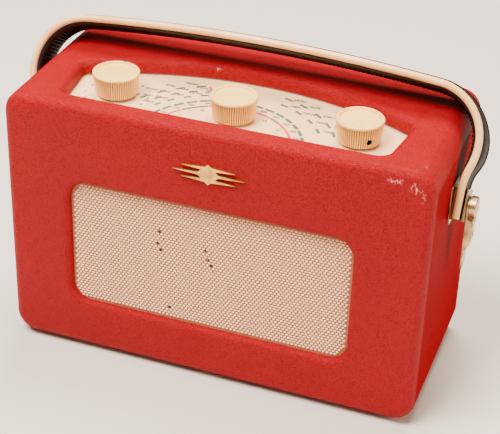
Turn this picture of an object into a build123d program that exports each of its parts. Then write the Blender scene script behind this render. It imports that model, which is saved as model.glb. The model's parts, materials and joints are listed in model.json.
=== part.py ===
from build123d import *
import os
from math import cos, radians, sin

# A portable transistor radio: a plywood sleeve covered in red leathercloth, a rear door,
# three dial knobs on top, a loudspeaker behind a woven grille, a padded strap handle
# and a turntable in the base.
# Millimetres. X runs to the radio's right as seen from the front, Y to its rear, Z up.
# The origin is on the ground, under the middle of the case.

# ---------------------------------------------------------------- case
CASE_WIDTH = 235.0
CASE_DEPTH = 103.0
CASE_HEIGHT = 152.5
CORNER_RADIUS = 12.0
EDGE_RADIUS = 5.5
REAR_EDGE_RADIUS = 1.5
CLOTH = 0.8
SIDE_WALL = 8.0
TOP_WALL = 7.0
FRONT_WALL = 3.2
CAVITY_CORNER = 4.0

# ---------------------------------------------------------------- dial opening
DIAL_SHIFT = -0.5
DIAL_SIDE_LAND = 24.5
DIAL_FRONT_LAND = 14.3
DIAL_NARROWING = 4.7
DIAL_STRAIGHT_SIDE = 36.2
DIAL_ARCH_RISE = 25.0
DIAL_FRONT_CORNER = 7.0
DIAL_BACK_CORNER = 3.0
DIAL_LIP = 4.5
WINDOW_THICKNESS = 1.0
WINDOW_MARGIN = 4.0
DIAL_PLATE_THICKNESS = 1.2

# ---------------------------------------------------------------- grille opening
GRILLE_SHIFT = -1.0
GRILLE_WIDTH = 159.0
GRILLE_BOTTOM_EDGE = 30.0
GRILLE_HEIGHT = 75.8
GRILLE_CORNER = 10.5
GRILLE_LIP = 3.6
GRILLE_SHEET = 0.6
GRILLE_MARGIN = 6.0
BAFFLE_THICKNESS = 3.6
BAFFLE_SIDE_GAP = 2.7
BAFFLE_BOTTOM_GAP = 1.7
BAFFLE_TOP_GAP = 11.2

# ---------------------------------------------------------------- badge
BADGE_BELOW_MIDDLE = 0.15
BADGE_THICKNESS = 1.4
BADGE_HALF_WIDTH = 20.0
BADGE_STEP = 5.0
DIAMOND_HALF_WIDTH = 6.5
DIAMOND_HALF_HEIGHT = 6.0
BADGE_BAR_PITCH = 3.4
BADGE_BAR_HEIGHT = 2.3

# ---------------------------------------------------------------- knobs and controls
KNOB_FROM_DIAL_SIDE = 25.3
KNOB_FROM_DIAL_FRONT = 22.2
TUNING_FROM_DIAL_FRONT = 20.7
KNOB_RADIUS = 12.7
KNOB_RIM_LEDGE = 0.2
KNOB_FOOT_TAPER = 1.4
KNOB_HEIGHT = 12.4
KNOB_RIM_HEIGHT = 1.6
KNOB_DISH_BORDER = 2.1
KNOB_DISH_DEPTH = 0.9
KNOB_FLUTES = 60
KNOB_FLUTE_DEPTH = 0.75
KNOB_GAP = 0.2
SPINDLE_RADIUS = 3.0
SPINDLE_GRIP = 9.0
SPINDLE_CLEARANCE = 0.05
BUSH_RADIUS = 4.7
GRUB_RADIUS = 1.6
GRUB_LENGTH = 4.5
GRUB_HEIGHT = 3.6
VOLUME_GRUB_ANGLE = 120.0
TUNING_GRUB_ANGLE = 70.0
BAND_GRUB_ANGLE = -47.0
WASHER_THICKNESS = 0.7
WASHER_RADIUS = 9.4
CURSOR_THICKNESS = 0.6
CURSOR_HUB_RADIUS = 9.0
CURSOR_WIDTH = 5.0
CURSOR_REACH = 36.0
CURSOR_ANGLE = 132.0
CHASSIS_THICKNESS = 1.4
CHASSIS_DROP = 6.2
CHASSIS_SIDE_GAP = 4.7
CHASSIS_FRONT_GAP = 3.3
CHASSIS_REAR_GAP = 2.3
PILLAR_RADIUS = 3.5
PILLAR_FROM_SIDE = 5.0
PILLAR_FROM_END = 4.0
SCREW_RADIUS = 1.5
SCREW_HEAD_RADIUS = 3.0
SCREW_HEAD_HEIGHT = 1.6
SCREW_BITE = 4.3
NUT_ACROSS_FLATS = 12.0
NUT_HEIGHT = 2.2
VOLUME_BODY_RADIUS = 12.5
VOLUME_BODY_HEIGHT = 11.0
SWITCH_RADIUS = 14.0
SWITCH_HEIGHT = 15.0
CAPACITOR_SIDE = 34.0
CAPACITOR_HEIGHT = 28.0
CAPACITOR_WALL = 2.0
VANE_TIP_GAP = 1.0
VANE_THICKNESS = 0.6
VANE_FROM_FLOOR = 6.0
VANE_FROM_TOP = 7.6
VANE_COUNT = 5

# ---------------------------------------------------------------- circuit board
BOARD_THICKNESS = 1.6
BOARD_DEPTH = 48.0
BOARD_SIDE_GAP = 8.7
BOARD_DOOR_GAP = 6.7
SPACER_RADIUS = 2.6
SPACER_LENGTH = 40.0
SPACER_FROM_SIDE = 12.0
SPACER_FROM_END = 5.0
CAN_SIDE = 10.0
CAN_HEIGHT = 13.0
TRANSISTOR_RADIUS = 3.2
TRANSISTOR_HEIGHT = 9.0
ELECTROLYTIC_RADIUS = 4.0
ELECTROLYTIC_HEIGHT = 12.0
TRANSFORMER_LENGTH = 20.0
TRANSFORMER_SIDE = 16.0
ROD_RADIUS = 4.8
ROD_LENGTH = 160.0
ROD_BELOW_CHASSIS = 13.6
ROD_FROM_BOARD_REAR = 11.0
COIL_WALL = 1.8
COIL_LENGTH = 28.0
COIL_FROM_HOLDER = 23.0
HOLDER_WIDTH = 6.0
HOLDER_WALL = 1.7
HOLDER_FROM_ROD_END = 5.0
HOLDER_BELOW_ROD = 2.6

# ---------------------------------------------------------------- loudspeaker
SPEAKER_RADIUS = 49.0
SPEAKER_FLANGE = 6.0
SPEAKER_DEPTH = 30.0
SPEAKER_WALL = 1.2
SPEAKER_BACK_RADIUS = 20.0
VOICE_COIL_RADIUS = 11.0
MAGNET_RADIUS = 23.0
MAGNET_LENGTH = 15.0
CONE_THICKNESS = 0.6
SPEAKER_SCREW_FROM_RIM = 2.3
SPEAKER_SCREW_HEAD_RADIUS = 2.3

# ---------------------------------------------------------------- battery
BATTERY_WIDTH = 65.0
BATTERY_DEPTH = 51.6
BATTERY_HEIGHT = 77.5
BATTERY_SIDE_GAP = 3.2
BATTERY_DOOR_GAP = 2.9
BATTERY_STUD_RADIUS = 4.6
BATTERY_STUD_HEIGHT = 2.6
BATTERY_STUD_SPACING = 35.0
SNAP_RADIUS = 6.6
SNAP_HEIGHT = 4.2

# ---------------------------------------------------------------- rear door
DOOR_GAP = 0.5
DOOR_THICKNESS = 4.0
BATTEN_HALF_WIDTH = 30.0
BATTEN_DEPTH = 5.5
BATTEN_HEIGHT = 6.2
BATTEN_DOOR_GAP = 0.2
CATCH_DROP = 12.0
CATCH_DISC_RADIUS = 8.0
CATCH_DISC_HEIGHT = 1.5
CATCH_SHANK_RADIUS = 3.0
CATCH_TIP_GAP = 1.0
CATCH_DISC_GAP = 0.3
CATCH_TONGUE_WIDTH = 7.0
CATCH_TONGUE_THICKNESS = 2.0
CATCH_GAP = 0.7
HINGE_KNUCKLE_RADIUS = 1.7
HINGE_PIN_RADIUS = 0.9
HINGE_LEAF = 0.8
HINGE_HALF_LENGTH = 30.0
HINGE_MIDDLE_HALF_LENGTH = 10.0
HINGE_LEAF_HEIGHT = 9.6
HINGE_CABINET_LEAF_HEIGHT = 7.0
HINGE_END_GAP = 0.3
HINGE_NOTCH_GAP = 0.5
HINGE_ABOVE_FLOOR = 0.1

# ---------------------------------------------------------------- turntable
TURNTABLE_RADIUS = 42.0
FELT_THICKNESS = 1.3
TURNTABLE_THICKNESS = 1.0
TURNTABLE_GAP = 0.2
PIVOT_RADIUS = 3.0
PIVOT_ABOVE_FLOOR = 5.7
PIVOT_NUT_GAP = 0.2
PIVOT_NUT_ACROSS_FLATS = 10.0
PIVOT_NUT_HEIGHT = 3.0

# ---------------------------------------------------------------- strap handle
HANDLE_AXIS_Y = -3.0
HANDLE_AXIS_BELOW_CASE_TOP = 39.5
HANDLE_LEAN = 30.0
STRAP_END_DROP = 8.2
STRAP_STRAIGHT = 7.0
STRAP_BULGE_OUT = 4.0
STRAP_BULGE_RISE = 30.5
STRAP_SHOULDER_IN = 22.0
STRAP_SHOULDER_RISE = 59.0
STRAP_THICKNESS = 5.5
PIPING_RADIUS = 1.95
PIPING_OFFSET = 10.6
FERRULE_WALL = 0.8
FERRULE_PIPING_GAP = 1.15
FERRULE_TOP = 8.0
STUD_RADIUS = 2.5
STUD_CLEARANCE = 0.08
STUD_BITE = 5.5
STUD_HEAD_RADIUS = 5.5
STUD_HEAD_LENGTH = 3.6
BRACKET_THICKNESS = 0.6
BRACKET_HALF_WIDTH = 8.0
BRACKET_BELOW = 10.0
BRACKET_ABOVE = 12.0
NAIL_FROM_EDGE = 2.5
NAIL_HEAD_RADIUS = 1.6
NAIL_SHANK_RADIUS = 0.8
NAIL_LENGTH = 6.0
HANDLE_SIDE_PLAY = 0.35
CATCH_PLATE = 0.8
CATCH_EYE_RADIUS = 4.8
CATCH_HALF_WIDTH = 4.3
CATCH_TAIL = 38.0
CATCH_CUP_TOP = 6.4
CATCH_CUP_BOTTOM = 25.0
CATCH_CUP_DEPTH = 3.4

# ---------------------------------------------------------------- derived positions
# case
SIDE_X = CASE_WIDTH / 2
FRONT_Y = -CASE_DEPTH / 2
REAR_Y = CASE_DEPTH / 2
CASE_BOTTOM = FELT_THICKNESS + TURNTABLE_THICKNESS + TURNTABLE_GAP
CASE_TOP = CASE_BOTTOM + CASE_HEIGHT
CASE_MIDDLE_Z = (CASE_BOTTOM + CASE_TOP) / 2
CAVITY_HALF_WIDTH = SIDE_X - CLOTH - SIDE_WALL
CAVITY_BOTTOM = CASE_BOTTOM + CLOTH + SIDE_WALL
CAVITY_TOP = CASE_TOP - CLOTH - TOP_WALL
CAVITY_MIDDLE_Z = (CAVITY_BOTTOM + CAVITY_TOP) / 2
CAVITY_FRONT = FRONT_Y + CLOTH + FRONT_WALL
# dial opening
DIAL_HALF_WIDTH = SIDE_X - DIAL_SIDE_LAND
DIAL_FRONT_HALF_WIDTH = DIAL_HALF_WIDTH - DIAL_NARROWING
DIAL_FRONT_Y = FRONT_Y + DIAL_FRONT_LAND
DIAL_ARCH_END_Y = DIAL_FRONT_Y + DIAL_STRAIGHT_SIDE
WINDOW_BOTTOM = CAVITY_TOP - WINDOW_THICKNESS
DIAL_PLATE_BOTTOM = WINDOW_BOTTOM - DIAL_PLATE_THICKNESS
# grille, baffle and badge
GRILLE_Z = CASE_BOTTOM + GRILLE_BOTTOM_EDGE + GRILLE_HEIGHT / 2
SHEET_REAR = CAVITY_FRONT + GRILLE_SHEET
BAFFLE_REAR = SHEET_REAR + BAFFLE_THICKNESS
BAFFLE_HALF_WIDTH = CAVITY_HALF_WIDTH - BAFFLE_SIDE_GAP
BAFFLE_BOTTOM = CAVITY_BOTTOM + BAFFLE_BOTTOM_GAP
BAFFLE_TOP = CAVITY_TOP - BAFFLE_TOP_GAP
BADGE_Z = (GRILLE_Z + GRILLE_HEIGHT / 2 + CASE_TOP) / 2 - BADGE_BELOW_MIDDLE
# rear door, its batten and its catch
DOOR_INNER = REAR_Y - CLOTH - DOOR_THICKNESS
DOOR_BOTTOM = CAVITY_BOTTOM + DOOR_GAP
DOOR_TOP = CAVITY_TOP - DOOR_GAP
DOOR_MIDDLE_Z = (DOOR_BOTTOM + DOOR_TOP) / 2
DOOR_CORNER = CAVITY_CORNER - DOOR_GAP
BATTEN_REAR = DOOR_INNER - BATTEN_DOOR_GAP
BATTEN_FRONT = BATTEN_REAR - BATTEN_DEPTH
CATCH_Z = DOOR_TOP - CATCH_DROP
CATCH_TONGUE_REACH = CATCH_DROP + DOOR_GAP - CATCH_TIP_GAP
CATCH_TONGUE_REAR = BATTEN_FRONT - CATCH_GAP
CATCH_TONGUE_FRONT = CATCH_TONGUE_REAR - CATCH_TONGUE_THICKNESS
HINGE_Y = REAR_Y + HINGE_KNUCKLE_RADIUS
HINGE_Z = CAVITY_BOTTOM + HINGE_ABOVE_FLOOR
HINGE_NOTCH_HEIGHT = 2 * (HINGE_KNUCKLE_RADIUS + HINGE_NOTCH_GAP)
# chassis and knobs
CHASSIS_TOP = CAVITY_TOP - CHASSIS_DROP
CHASSIS_BOTTOM = CHASSIS_TOP - CHASSIS_THICKNESS
CHASSIS_HALF_WIDTH = CAVITY_HALF_WIDTH - CHASSIS_SIDE_GAP
CHASSIS_FRONT = BAFFLE_REAR + CHASSIS_FRONT_GAP
CHASSIS_REAR = CATCH_TONGUE_FRONT - CHASSIS_REAR_GAP
KNOB_BOTTOM = CAVITY_TOP + WASHER_THICKNESS + KNOB_GAP
KNOB_TOP = KNOB_BOTTOM + KNOB_HEIGHT
KNOB_FLUTED_TOP_RADIUS = KNOB_RADIUS - KNOB_RIM_LEDGE
KNOB_FOOT_RADIUS = KNOB_RADIUS - KNOB_FOOT_TAPER
KNOB_DISH_RADIUS = KNOB_RADIUS - KNOB_DISH_BORDER
SPINDLE_TOP = KNOB_BOTTOM + SPINDLE_GRIP
BUSH_TOP = CHASSIS_TOP + NUT_HEIGHT + 1.0
KNOB_SPACING = DIAL_HALF_WIDTH - KNOB_FROM_DIAL_SIDE
VOLUME_AT = (-KNOB_SPACING, DIAL_FRONT_Y + KNOB_FROM_DIAL_FRONT)
TUNING_AT = (0.0, DIAL_FRONT_Y + TUNING_FROM_DIAL_FRONT)
BAND_AT = (KNOB_SPACING, DIAL_FRONT_Y + KNOB_FROM_DIAL_FRONT)
PILLARS = [
    (side * (CHASSIS_HALF_WIDTH - PILLAR_FROM_SIDE), y)
    for side in (-1, 1)
    for y in (CHASSIS_FRONT + PILLAR_FROM_END, CHASSIS_REAR - PILLAR_FROM_END)
]
VANE_RADIUS = CAPACITOR_SIDE / 2 - CAPACITOR_WALL - VANE_TIP_GAP
VANE_PITCH = (CAPACITOR_HEIGHT - VANE_FROM_FLOOR - VANE_FROM_TOP) / (VANE_COUNT - 1)
FIRST_VANE = CHASSIS_BOTTOM - CAPACITOR_HEIGHT + VANE_FROM_FLOOR
# circuit board and aerial
BOARD_TOP = CHASSIS_BOTTOM - SPACER_LENGTH
BOARD_BOTTOM = BOARD_TOP - BOARD_THICKNESS
BOARD_HALF_WIDTH = CAVITY_HALF_WIDTH - BOARD_SIDE_GAP
BOARD_REAR = DOOR_INNER - BOARD_DOOR_GAP
BOARD_FRONT = BOARD_REAR - BOARD_DEPTH
SPACERS = [
    (side * (BOARD_HALF_WIDTH - SPACER_FROM_SIDE), y)
    for side in (-1, 1)
    for y in (BOARD_FRONT + SPACER_FROM_END, BOARD_REAR - SPACER_FROM_END)
]
ROD_Y = BOARD_REAR - ROD_FROM_BOARD_REAR
ROD_Z = CHASSIS_BOTTOM - ROD_BELOW_CHASSIS
COIL_RADIUS = ROD_RADIUS + COIL_WALL
HOLDER_DEPTH = 2 * (ROD_RADIUS + HOLDER_WALL)
HOLDER_X = ROD_LENGTH / 2 - HOLDER_FROM_ROD_END
COIL_X = HOLDER_X - COIL_FROM_HOLDER
# loudspeaker and battery
SPEAKER_HOLE_RADIUS = SPEAKER_RADIUS - SPEAKER_FLANGE
SPEAKER_SCREW_CIRCLE = SPEAKER_RADIUS - SPEAKER_SCREW_FROM_RIM
SPEAKER_BACK = BAFFLE_REAR + SPEAKER_DEPTH
BATTERY_TOP = CAVITY_BOTTOM + BATTERY_HEIGHT
BATTERY_X = CAVITY_HALF_WIDTH - BATTERY_SIDE_GAP - BATTERY_WIDTH / 2
BATTERY_Y = DOOR_INNER - BATTERY_DOOR_GAP - BATTERY_DEPTH / 2
# handle, from the case's side outwards
HANDLE_AXIS_Z = CASE_TOP - HANDLE_AXIS_BELOW_CASE_TOP
FERRULE_INNER_X = SIDE_X + BRACKET_THICKNESS + HANDLE_SIDE_PLAY
STRAP_INNER_X = FERRULE_INNER_X + FERRULE_WALL
STRAP_END_X = STRAP_INNER_X + STRAP_THICKNESS / 2
STRAP_OUTER_X = STRAP_INNER_X + STRAP_THICKNESS
STRAP_BULGE_X = STRAP_END_X + STRAP_BULGE_OUT
STRAP_SHOULDER_X = STRAP_END_X - STRAP_SHOULDER_IN
FERRULE_OUTER_X = STRAP_OUTER_X + FERRULE_WALL
FERRULE_HALF_WIDTH = PIPING_OFFSET - PIPING_RADIUS - FERRULE_PIPING_GAP
CATCH_INNER_X = FERRULE_OUTER_X + HANDLE_SIDE_PLAY
CATCH_OUTER_X = CATCH_INNER_X + CATCH_PLATE
STUD_HEAD_X = CATCH_OUTER_X + HANDLE_SIDE_PLAY
NAILS = [
    (HANDLE_AXIS_Y + across * (BRACKET_HALF_WIDTH - NAIL_FROM_EDGE), HANDLE_AXIS_Z + up)
    for across in (-1, 1)
    for up in (NAIL_FROM_EDGE - BRACKET_BELOW, BRACKET_ABOVE - NAIL_FROM_EDGE)
]


def rear_plane(y):
    """Return a plane facing the front at depth y, with local X and Y as X and Z."""
    return Plane.XZ.offset(-y)


def side_plane(x):
    """Return a plane facing +X at x, with local X and Y as Y and Z."""
    return Plane.YZ.offset(x)


def case_block(inset):
    """Return the case's solid outer block, drawn in by inset on every face."""
    with BuildPart() as block:
        with BuildSketch(rear_plane(REAR_Y - inset)):
            with Locations((0, CASE_MIDDLE_Z)):
                RectangleRounded(
                    CASE_WIDTH - 2 * inset, CASE_HEIGHT - 2 * inset, CORNER_RADIUS - inset
                )
        extrude(amount=CASE_DEPTH - 2 * inset)
        fillet(block.faces().sort_by(Axis.Y)[0].edges(), EDGE_RADIUS - inset)
        fillet(block.faces().sort_by(Axis.Y)[-1].edges(), REAR_EDGE_RADIUS - inset)
    return block.part


def dial_outline(grow):
    """Return the dial opening's outline, grown outwards by grow."""
    left_back = (DIAL_SHIFT - DIAL_HALF_WIDTH, DIAL_ARCH_END_Y)
    right_back = (DIAL_SHIFT + DIAL_HALF_WIDTH, DIAL_ARCH_END_Y)
    left_front = (DIAL_SHIFT - DIAL_FRONT_HALF_WIDTH, DIAL_FRONT_Y)
    right_front = (DIAL_SHIFT + DIAL_FRONT_HALF_WIDTH, DIAL_FRONT_Y)
    crown = (DIAL_SHIFT, DIAL_ARCH_END_Y + DIAL_ARCH_RISE)
    with BuildSketch() as outline:
        with BuildLine():
            ThreePointArc(left_back, crown, right_back)
            Line(right_back, right_front)
            Line(right_front, left_front)
            Line(left_front, left_back)
        make_face()
        fillet(outline.vertices().group_by(Axis.Y)[-1], DIAL_BACK_CORNER)
        fillet(outline.vertices().group_by(Axis.Y)[0], DIAL_FRONT_CORNER)
        if grow > 0:
            offset(amount=grow)
    return outline.sketch


def opened_block(inset):
    """Return the outer block with the dial and grille openings and their rounded lips."""
    with BuildPart() as block:
        add(case_block(inset))
        with BuildSketch(Plane.XY.offset(CASE_TOP - inset)):
            add(dial_outline(inset))
        extrude(amount=-(TOP_WALL + 4.0), mode=Mode.SUBTRACT)
        rim = block.edges(Select.LAST).group_by(Axis.Z)[-1]
        fillet(rim, DIAL_LIP - inset)
        with BuildSketch(rear_plane(FRONT_Y + inset)):
            with Locations((GRILLE_SHIFT, GRILLE_Z)):
                RectangleRounded(
                    GRILLE_WIDTH + 2 * inset, GRILLE_HEIGHT + 2 * inset, GRILLE_CORNER + inset
                )
        extrude(amount=-(FRONT_WALL + 4.0), mode=Mode.SUBTRACT)
        lip = block.edges(Select.LAST).group_by(Axis.Y)[0]
        fillet(lip, GRILLE_LIP - inset)
    return block.part


def knob_foot(x, y):
    """Return the fluted, tapering lower part of a knob standing at x, y."""
    with BuildPart() as foot:
        for height, radius in (
            (KNOB_BOTTOM, KNOB_FOOT_RADIUS),
            (KNOB_TOP - KNOB_RIM_HEIGHT, KNOB_FLUTED_TOP_RADIUS),
        ):
            crests = []
            for step in range(2 * KNOB_FLUTES):
                turn = radians(step * 180.0 / KNOB_FLUTES)
                reach = radius - KNOB_FLUTE_DEPTH * (step % 2)
                crests.append((x + reach * cos(turn), y + reach * sin(turn)))
            with BuildSketch(Plane.XY.offset(height)):
                Polygon(*crests, align=None)
        loft(ruled=True)
    return foot.part


def make_knob(at, grub_angle):
    """Return a knob with a smooth dished head, a blind bore and a grub screw hole."""
    x, y = at
    with BuildPart() as knob:
        with BuildSketch(Plane.XY.offset(KNOB_TOP - KNOB_RIM_HEIGHT)):
            with Locations((x, y)):
                Circle(KNOB_RADIUS)
        extrude(amount=KNOB_RIM_HEIGHT)
        fillet(knob.edges().group_by(Axis.Z)[-1], 0.9)
        fillet(knob.edges().group_by(Axis.Z)[0], 0.3)
        with BuildSketch(Plane.XY.offset(KNOB_TOP)):
            with Locations((x, y)):
                Circle(KNOB_DISH_RADIUS)
        extrude(amount=-KNOB_DISH_DEPTH, taper=25, mode=Mode.SUBTRACT)
        add(knob_foot(x, y))
        with BuildSketch(Plane.XY.offset(KNOB_BOTTOM)):
            with Locations((x, y)):
                Circle(SPINDLE_RADIUS)
        extrude(amount=SPINDLE_GRIP, mode=Mode.SUBTRACT)
        with BuildSketch(grub_plane(x, y, grub_angle)):
            Circle(GRUB_RADIUS)
        extrude(amount=KNOB_RADIUS + 2, mode=Mode.SUBTRACT)
    return knob


def grub_plane(x, y, grub_angle):
    """Return the plane square to a knob's grub screw, on the spindle's axis."""
    outward = (cos(radians(grub_angle)), sin(radians(grub_angle)), 0)
    return Plane(origin=(x, y, KNOB_BOTTOM + GRUB_HEIGHT), z_dir=outward)


def make_grub_screw(at, grub_angle):
    """Return the slotted grub screw that bears on a knob's spindle."""
    x, y = at
    seat = grub_plane(x, y, grub_angle)
    with BuildPart() as screw:
        with BuildSketch(seat.offset(SPINDLE_RADIUS)):
            Circle(GRUB_RADIUS)
        extrude(amount=GRUB_LENGTH)
        with BuildSketch(seat.offset(SPINDLE_RADIUS + GRUB_LENGTH)):
            Rectangle(2 * GRUB_RADIUS + 1, 0.6)
        extrude(amount=-1.0, mode=Mode.SUBTRACT)
    return screw


def make_spindle(at, bottom):
    """Return a plain control spindle from bottom up into its knob."""
    with BuildPart() as spindle:
        with BuildSketch(Plane.XY.offset(bottom)):
            with Locations(at):
                Circle(SPINDLE_RADIUS)
        extrude(amount=SPINDLE_TOP - bottom)
        chamfer(spindle.edges().group_by(Axis.Z)[0], 0.5)
    return spindle


def spindle_bore(at, bottom, top):
    """Return the running bore for a spindle, to be cut out of a part."""
    with BuildPart() as bore:
        with BuildSketch(Plane.XY.offset(bottom)):
            with Locations(at):
                Circle(SPINDLE_RADIUS + SPINDLE_CLEARANCE)
        extrude(amount=top - bottom)
    return bore.part


def threaded_bush(at):
    """Return a control's threaded bush, from the chassis underside up past its nut."""
    with BuildPart() as bush:
        with BuildSketch(Plane.XY.offset(CHASSIS_BOTTOM)):
            with Locations(at):
                Circle(BUSH_RADIUS)
        extrude(amount=BUSH_TOP - CHASSIS_BOTTOM)
    return bush.part


# ================================================================ case
with BuildPart() as cabinet_shell:
    add(opened_block(CLOTH))
    with BuildSketch(rear_plane(REAR_Y + 1)):
        with Locations((0, CAVITY_MIDDLE_Z)):
            RectangleRounded(2 * CAVITY_HALF_WIDTH, CAVITY_TOP - CAVITY_BOTTOM, CAVITY_CORNER)
    extrude(amount=REAR_Y + 1 - CAVITY_FRONT, mode=Mode.SUBTRACT)
    # batten behind which the rear catch turns
    with BuildSketch(Plane.XY.offset(CAVITY_TOP)):
        with Locations((0, (BATTEN_FRONT + BATTEN_REAR) / 2)):
            Rectangle(2 * BATTEN_HALF_WIDTH, BATTEN_DEPTH)
    extrude(amount=-BATTEN_HEIGHT)
    # pivot hole through the floor
    with BuildSketch(Plane.XY.offset(CASE_BOTTOM)):
        Circle(PIVOT_RADIUS + SPINDLE_CLEARANCE)
    extrude(amount=SIDE_WALL + 2, mode=Mode.SUBTRACT)
    # chassis screws bite into the underside of the top
    with BuildSketch(Plane.XY.offset(CAVITY_TOP)):
        with Locations(*PILLARS):
            Circle(SCREW_RADIUS)
    extrude(amount=SCREW_BITE, mode=Mode.SUBTRACT)
    # handle studs and bracket nails bite into the sides
    for side in (-1, 1):
        with BuildSketch(side_plane(side * SIDE_X)):
            with Locations((HANDLE_AXIS_Y, HANDLE_AXIS_Z)):
                Circle(STUD_RADIUS)
        extrude(amount=-side * STUD_BITE, mode=Mode.SUBTRACT)
        with BuildSketch(side_plane(side * SIDE_X)):
            with Locations(*NAILS):
                Circle(NAIL_SHANK_RADIUS)
        extrude(amount=-side * NAIL_LENGTH, mode=Mode.SUBTRACT)

with BuildPart() as cabinet_covering:
    add(opened_block(0))
    add(opened_block(CLOTH), mode=Mode.SUBTRACT)
    with BuildSketch(rear_plane(REAR_Y + 1)):
        with Locations((0, CAVITY_MIDDLE_Z)):
            RectangleRounded(2 * CAVITY_HALF_WIDTH, CAVITY_TOP - CAVITY_BOTTOM, CAVITY_CORNER)
    extrude(amount=REAR_Y + 1 - CAVITY_FRONT, mode=Mode.SUBTRACT)
    with BuildSketch(Plane.XY.offset(CASE_BOTTOM - 1)):
        Circle(PIVOT_RADIUS + SPINDLE_CLEARANCE)
    extrude(amount=4, mode=Mode.SUBTRACT)
    for side in (-1, 1):
        with BuildSketch(side_plane(side * SIDE_X)):
            with Locations((HANDLE_AXIS_Y, HANDLE_AXIS_Z)):
                Circle(STUD_RADIUS)
            with Locations(*NAILS):
                Circle(NAIL_SHANK_RADIUS)
        extrude(amount=-side * 2 * CLOTH, mode=Mode.SUBTRACT)

with BuildPart() as speaker_grille:
    with BuildSketch(rear_plane(SHEET_REAR)):
        with Locations((GRILLE_SHIFT, GRILLE_Z)):
            RectangleRounded(
                GRILLE_WIDTH + 2 * GRILLE_MARGIN, GRILLE_HEIGHT + 2 * GRILLE_MARGIN, 3.0
            )
    extrude(amount=GRILLE_SHEET)

with BuildPart() as speaker_baffle:
    with BuildSketch(rear_plane(BAFFLE_REAR)):
        with Locations((0, (BAFFLE_BOTTOM + BAFFLE_TOP) / 2)):
            Rectangle(2 * BAFFLE_HALF_WIDTH, BAFFLE_TOP - BAFFLE_BOTTOM)
        with Locations((GRILLE_SHIFT, GRILLE_Z)):
            Circle(SPEAKER_HOLE_RADIUS, mode=Mode.SUBTRACT)
            with PolarLocations(SPEAKER_SCREW_CIRCLE, 4, start_angle=45):
                Circle(SCREW_RADIUS, mode=Mode.SUBTRACT)
    extrude(amount=BAFFLE_THICKNESS)

with BuildPart() as badge:
    with BuildSketch(rear_plane(FRONT_Y)):
        with BuildLine():
            Polyline(
                (-DIAMOND_HALF_WIDTH, BADGE_Z),
                (0, BADGE_Z + DIAMOND_HALF_HEIGHT),
                (DIAMOND_HALF_WIDTH, BADGE_Z),
                (0, BADGE_Z - DIAMOND_HALF_HEIGHT),
                close=True,
            )
        make_face()
        for row in (-1, 0, 1):
            bar_z = BADGE_Z + row * BADGE_BAR_PITCH
            reach = BADGE_HALF_WIDTH - abs(row) * BADGE_STEP
            with BuildLine():
                Polyline(
                    (-reach, bar_z),
                    (0, bar_z + BADGE_BAR_HEIGHT / 2),
                    (reach, bar_z),
                    (0, bar_z - BADGE_BAR_HEIGHT / 2),
                    close=True,
                )
            make_face()
    extrude(amount=BADGE_THICKNESS)

# ================================================================ dial
with BuildPart() as dial_window:
    with BuildSketch(Plane.XY.offset(WINDOW_BOTTOM)):
        add(dial_outline(WINDOW_MARGIN))
        with Locations(VOLUME_AT, TUNING_AT, BAND_AT):
            Circle(BUSH_RADIUS + 0.6, mode=Mode.SUBTRACT)
    extrude(amount=WINDOW_THICKNESS)

with BuildPart() as dial_plate:
    with BuildSketch(Plane.XY.offset(DIAL_PLATE_BOTTOM)):
        add(dial_outline(WINDOW_MARGIN))
        with Locations(VOLUME_AT, TUNING_AT, BAND_AT):
            Circle(BUSH_RADIUS + 0.6, mode=Mode.SUBTRACT)
    extrude(amount=DIAL_PLATE_THICKNESS)

with BuildPart() as tuning_cursor:
    with BuildSketch(Plane.XY.offset(KNOB_BOTTOM - CURSOR_THICKNESS)):
        with Locations(TUNING_AT):
            Circle(CURSOR_HUB_RADIUS)
            with PolarLocations(CURSOR_REACH / 2, 1, start_angle=CURSOR_ANGLE):
                Rectangle(CURSOR_REACH, CURSOR_WIDTH)
            Circle(SPINDLE_RADIUS, mode=Mode.SUBTRACT)
    extrude(amount=CURSOR_THICKNESS)

with BuildPart() as knob_washers:
    with BuildSketch(Plane.XY.offset(CAVITY_TOP)):
        with Locations(VOLUME_AT, BAND_AT):
            Circle(WASHER_RADIUS)
            Circle(SPINDLE_RADIUS + SPINDLE_CLEARANCE, mode=Mode.SUBTRACT)
    extrude(amount=WASHER_THICKNESS)

knob_volume = make_knob(VOLUME_AT, VOLUME_GRUB_ANGLE)
knob_tuning = make_knob(TUNING_AT, TUNING_GRUB_ANGLE)
knob_band = make_knob(BAND_AT, BAND_GRUB_ANGLE)
grub_screw_volume = make_grub_screw(VOLUME_AT, VOLUME_GRUB_ANGLE)
grub_screw_tuning = make_grub_screw(TUNING_AT, TUNING_GRUB_ANGLE)
grub_screw_band = make_grub_screw(BAND_AT, BAND_GRUB_ANGLE)
spindle_volume = make_spindle(VOLUME_AT, CHASSIS_BOTTOM - VOLUME_BODY_HEIGHT + 2.5)
spindle_tuning = make_spindle(TUNING_AT, CHASSIS_BOTTOM - CAPACITOR_HEIGHT + 0.8)
spindle_band = make_spindle(BAND_AT, CHASSIS_BOTTOM - SWITCH_HEIGHT + 0.8)

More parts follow.
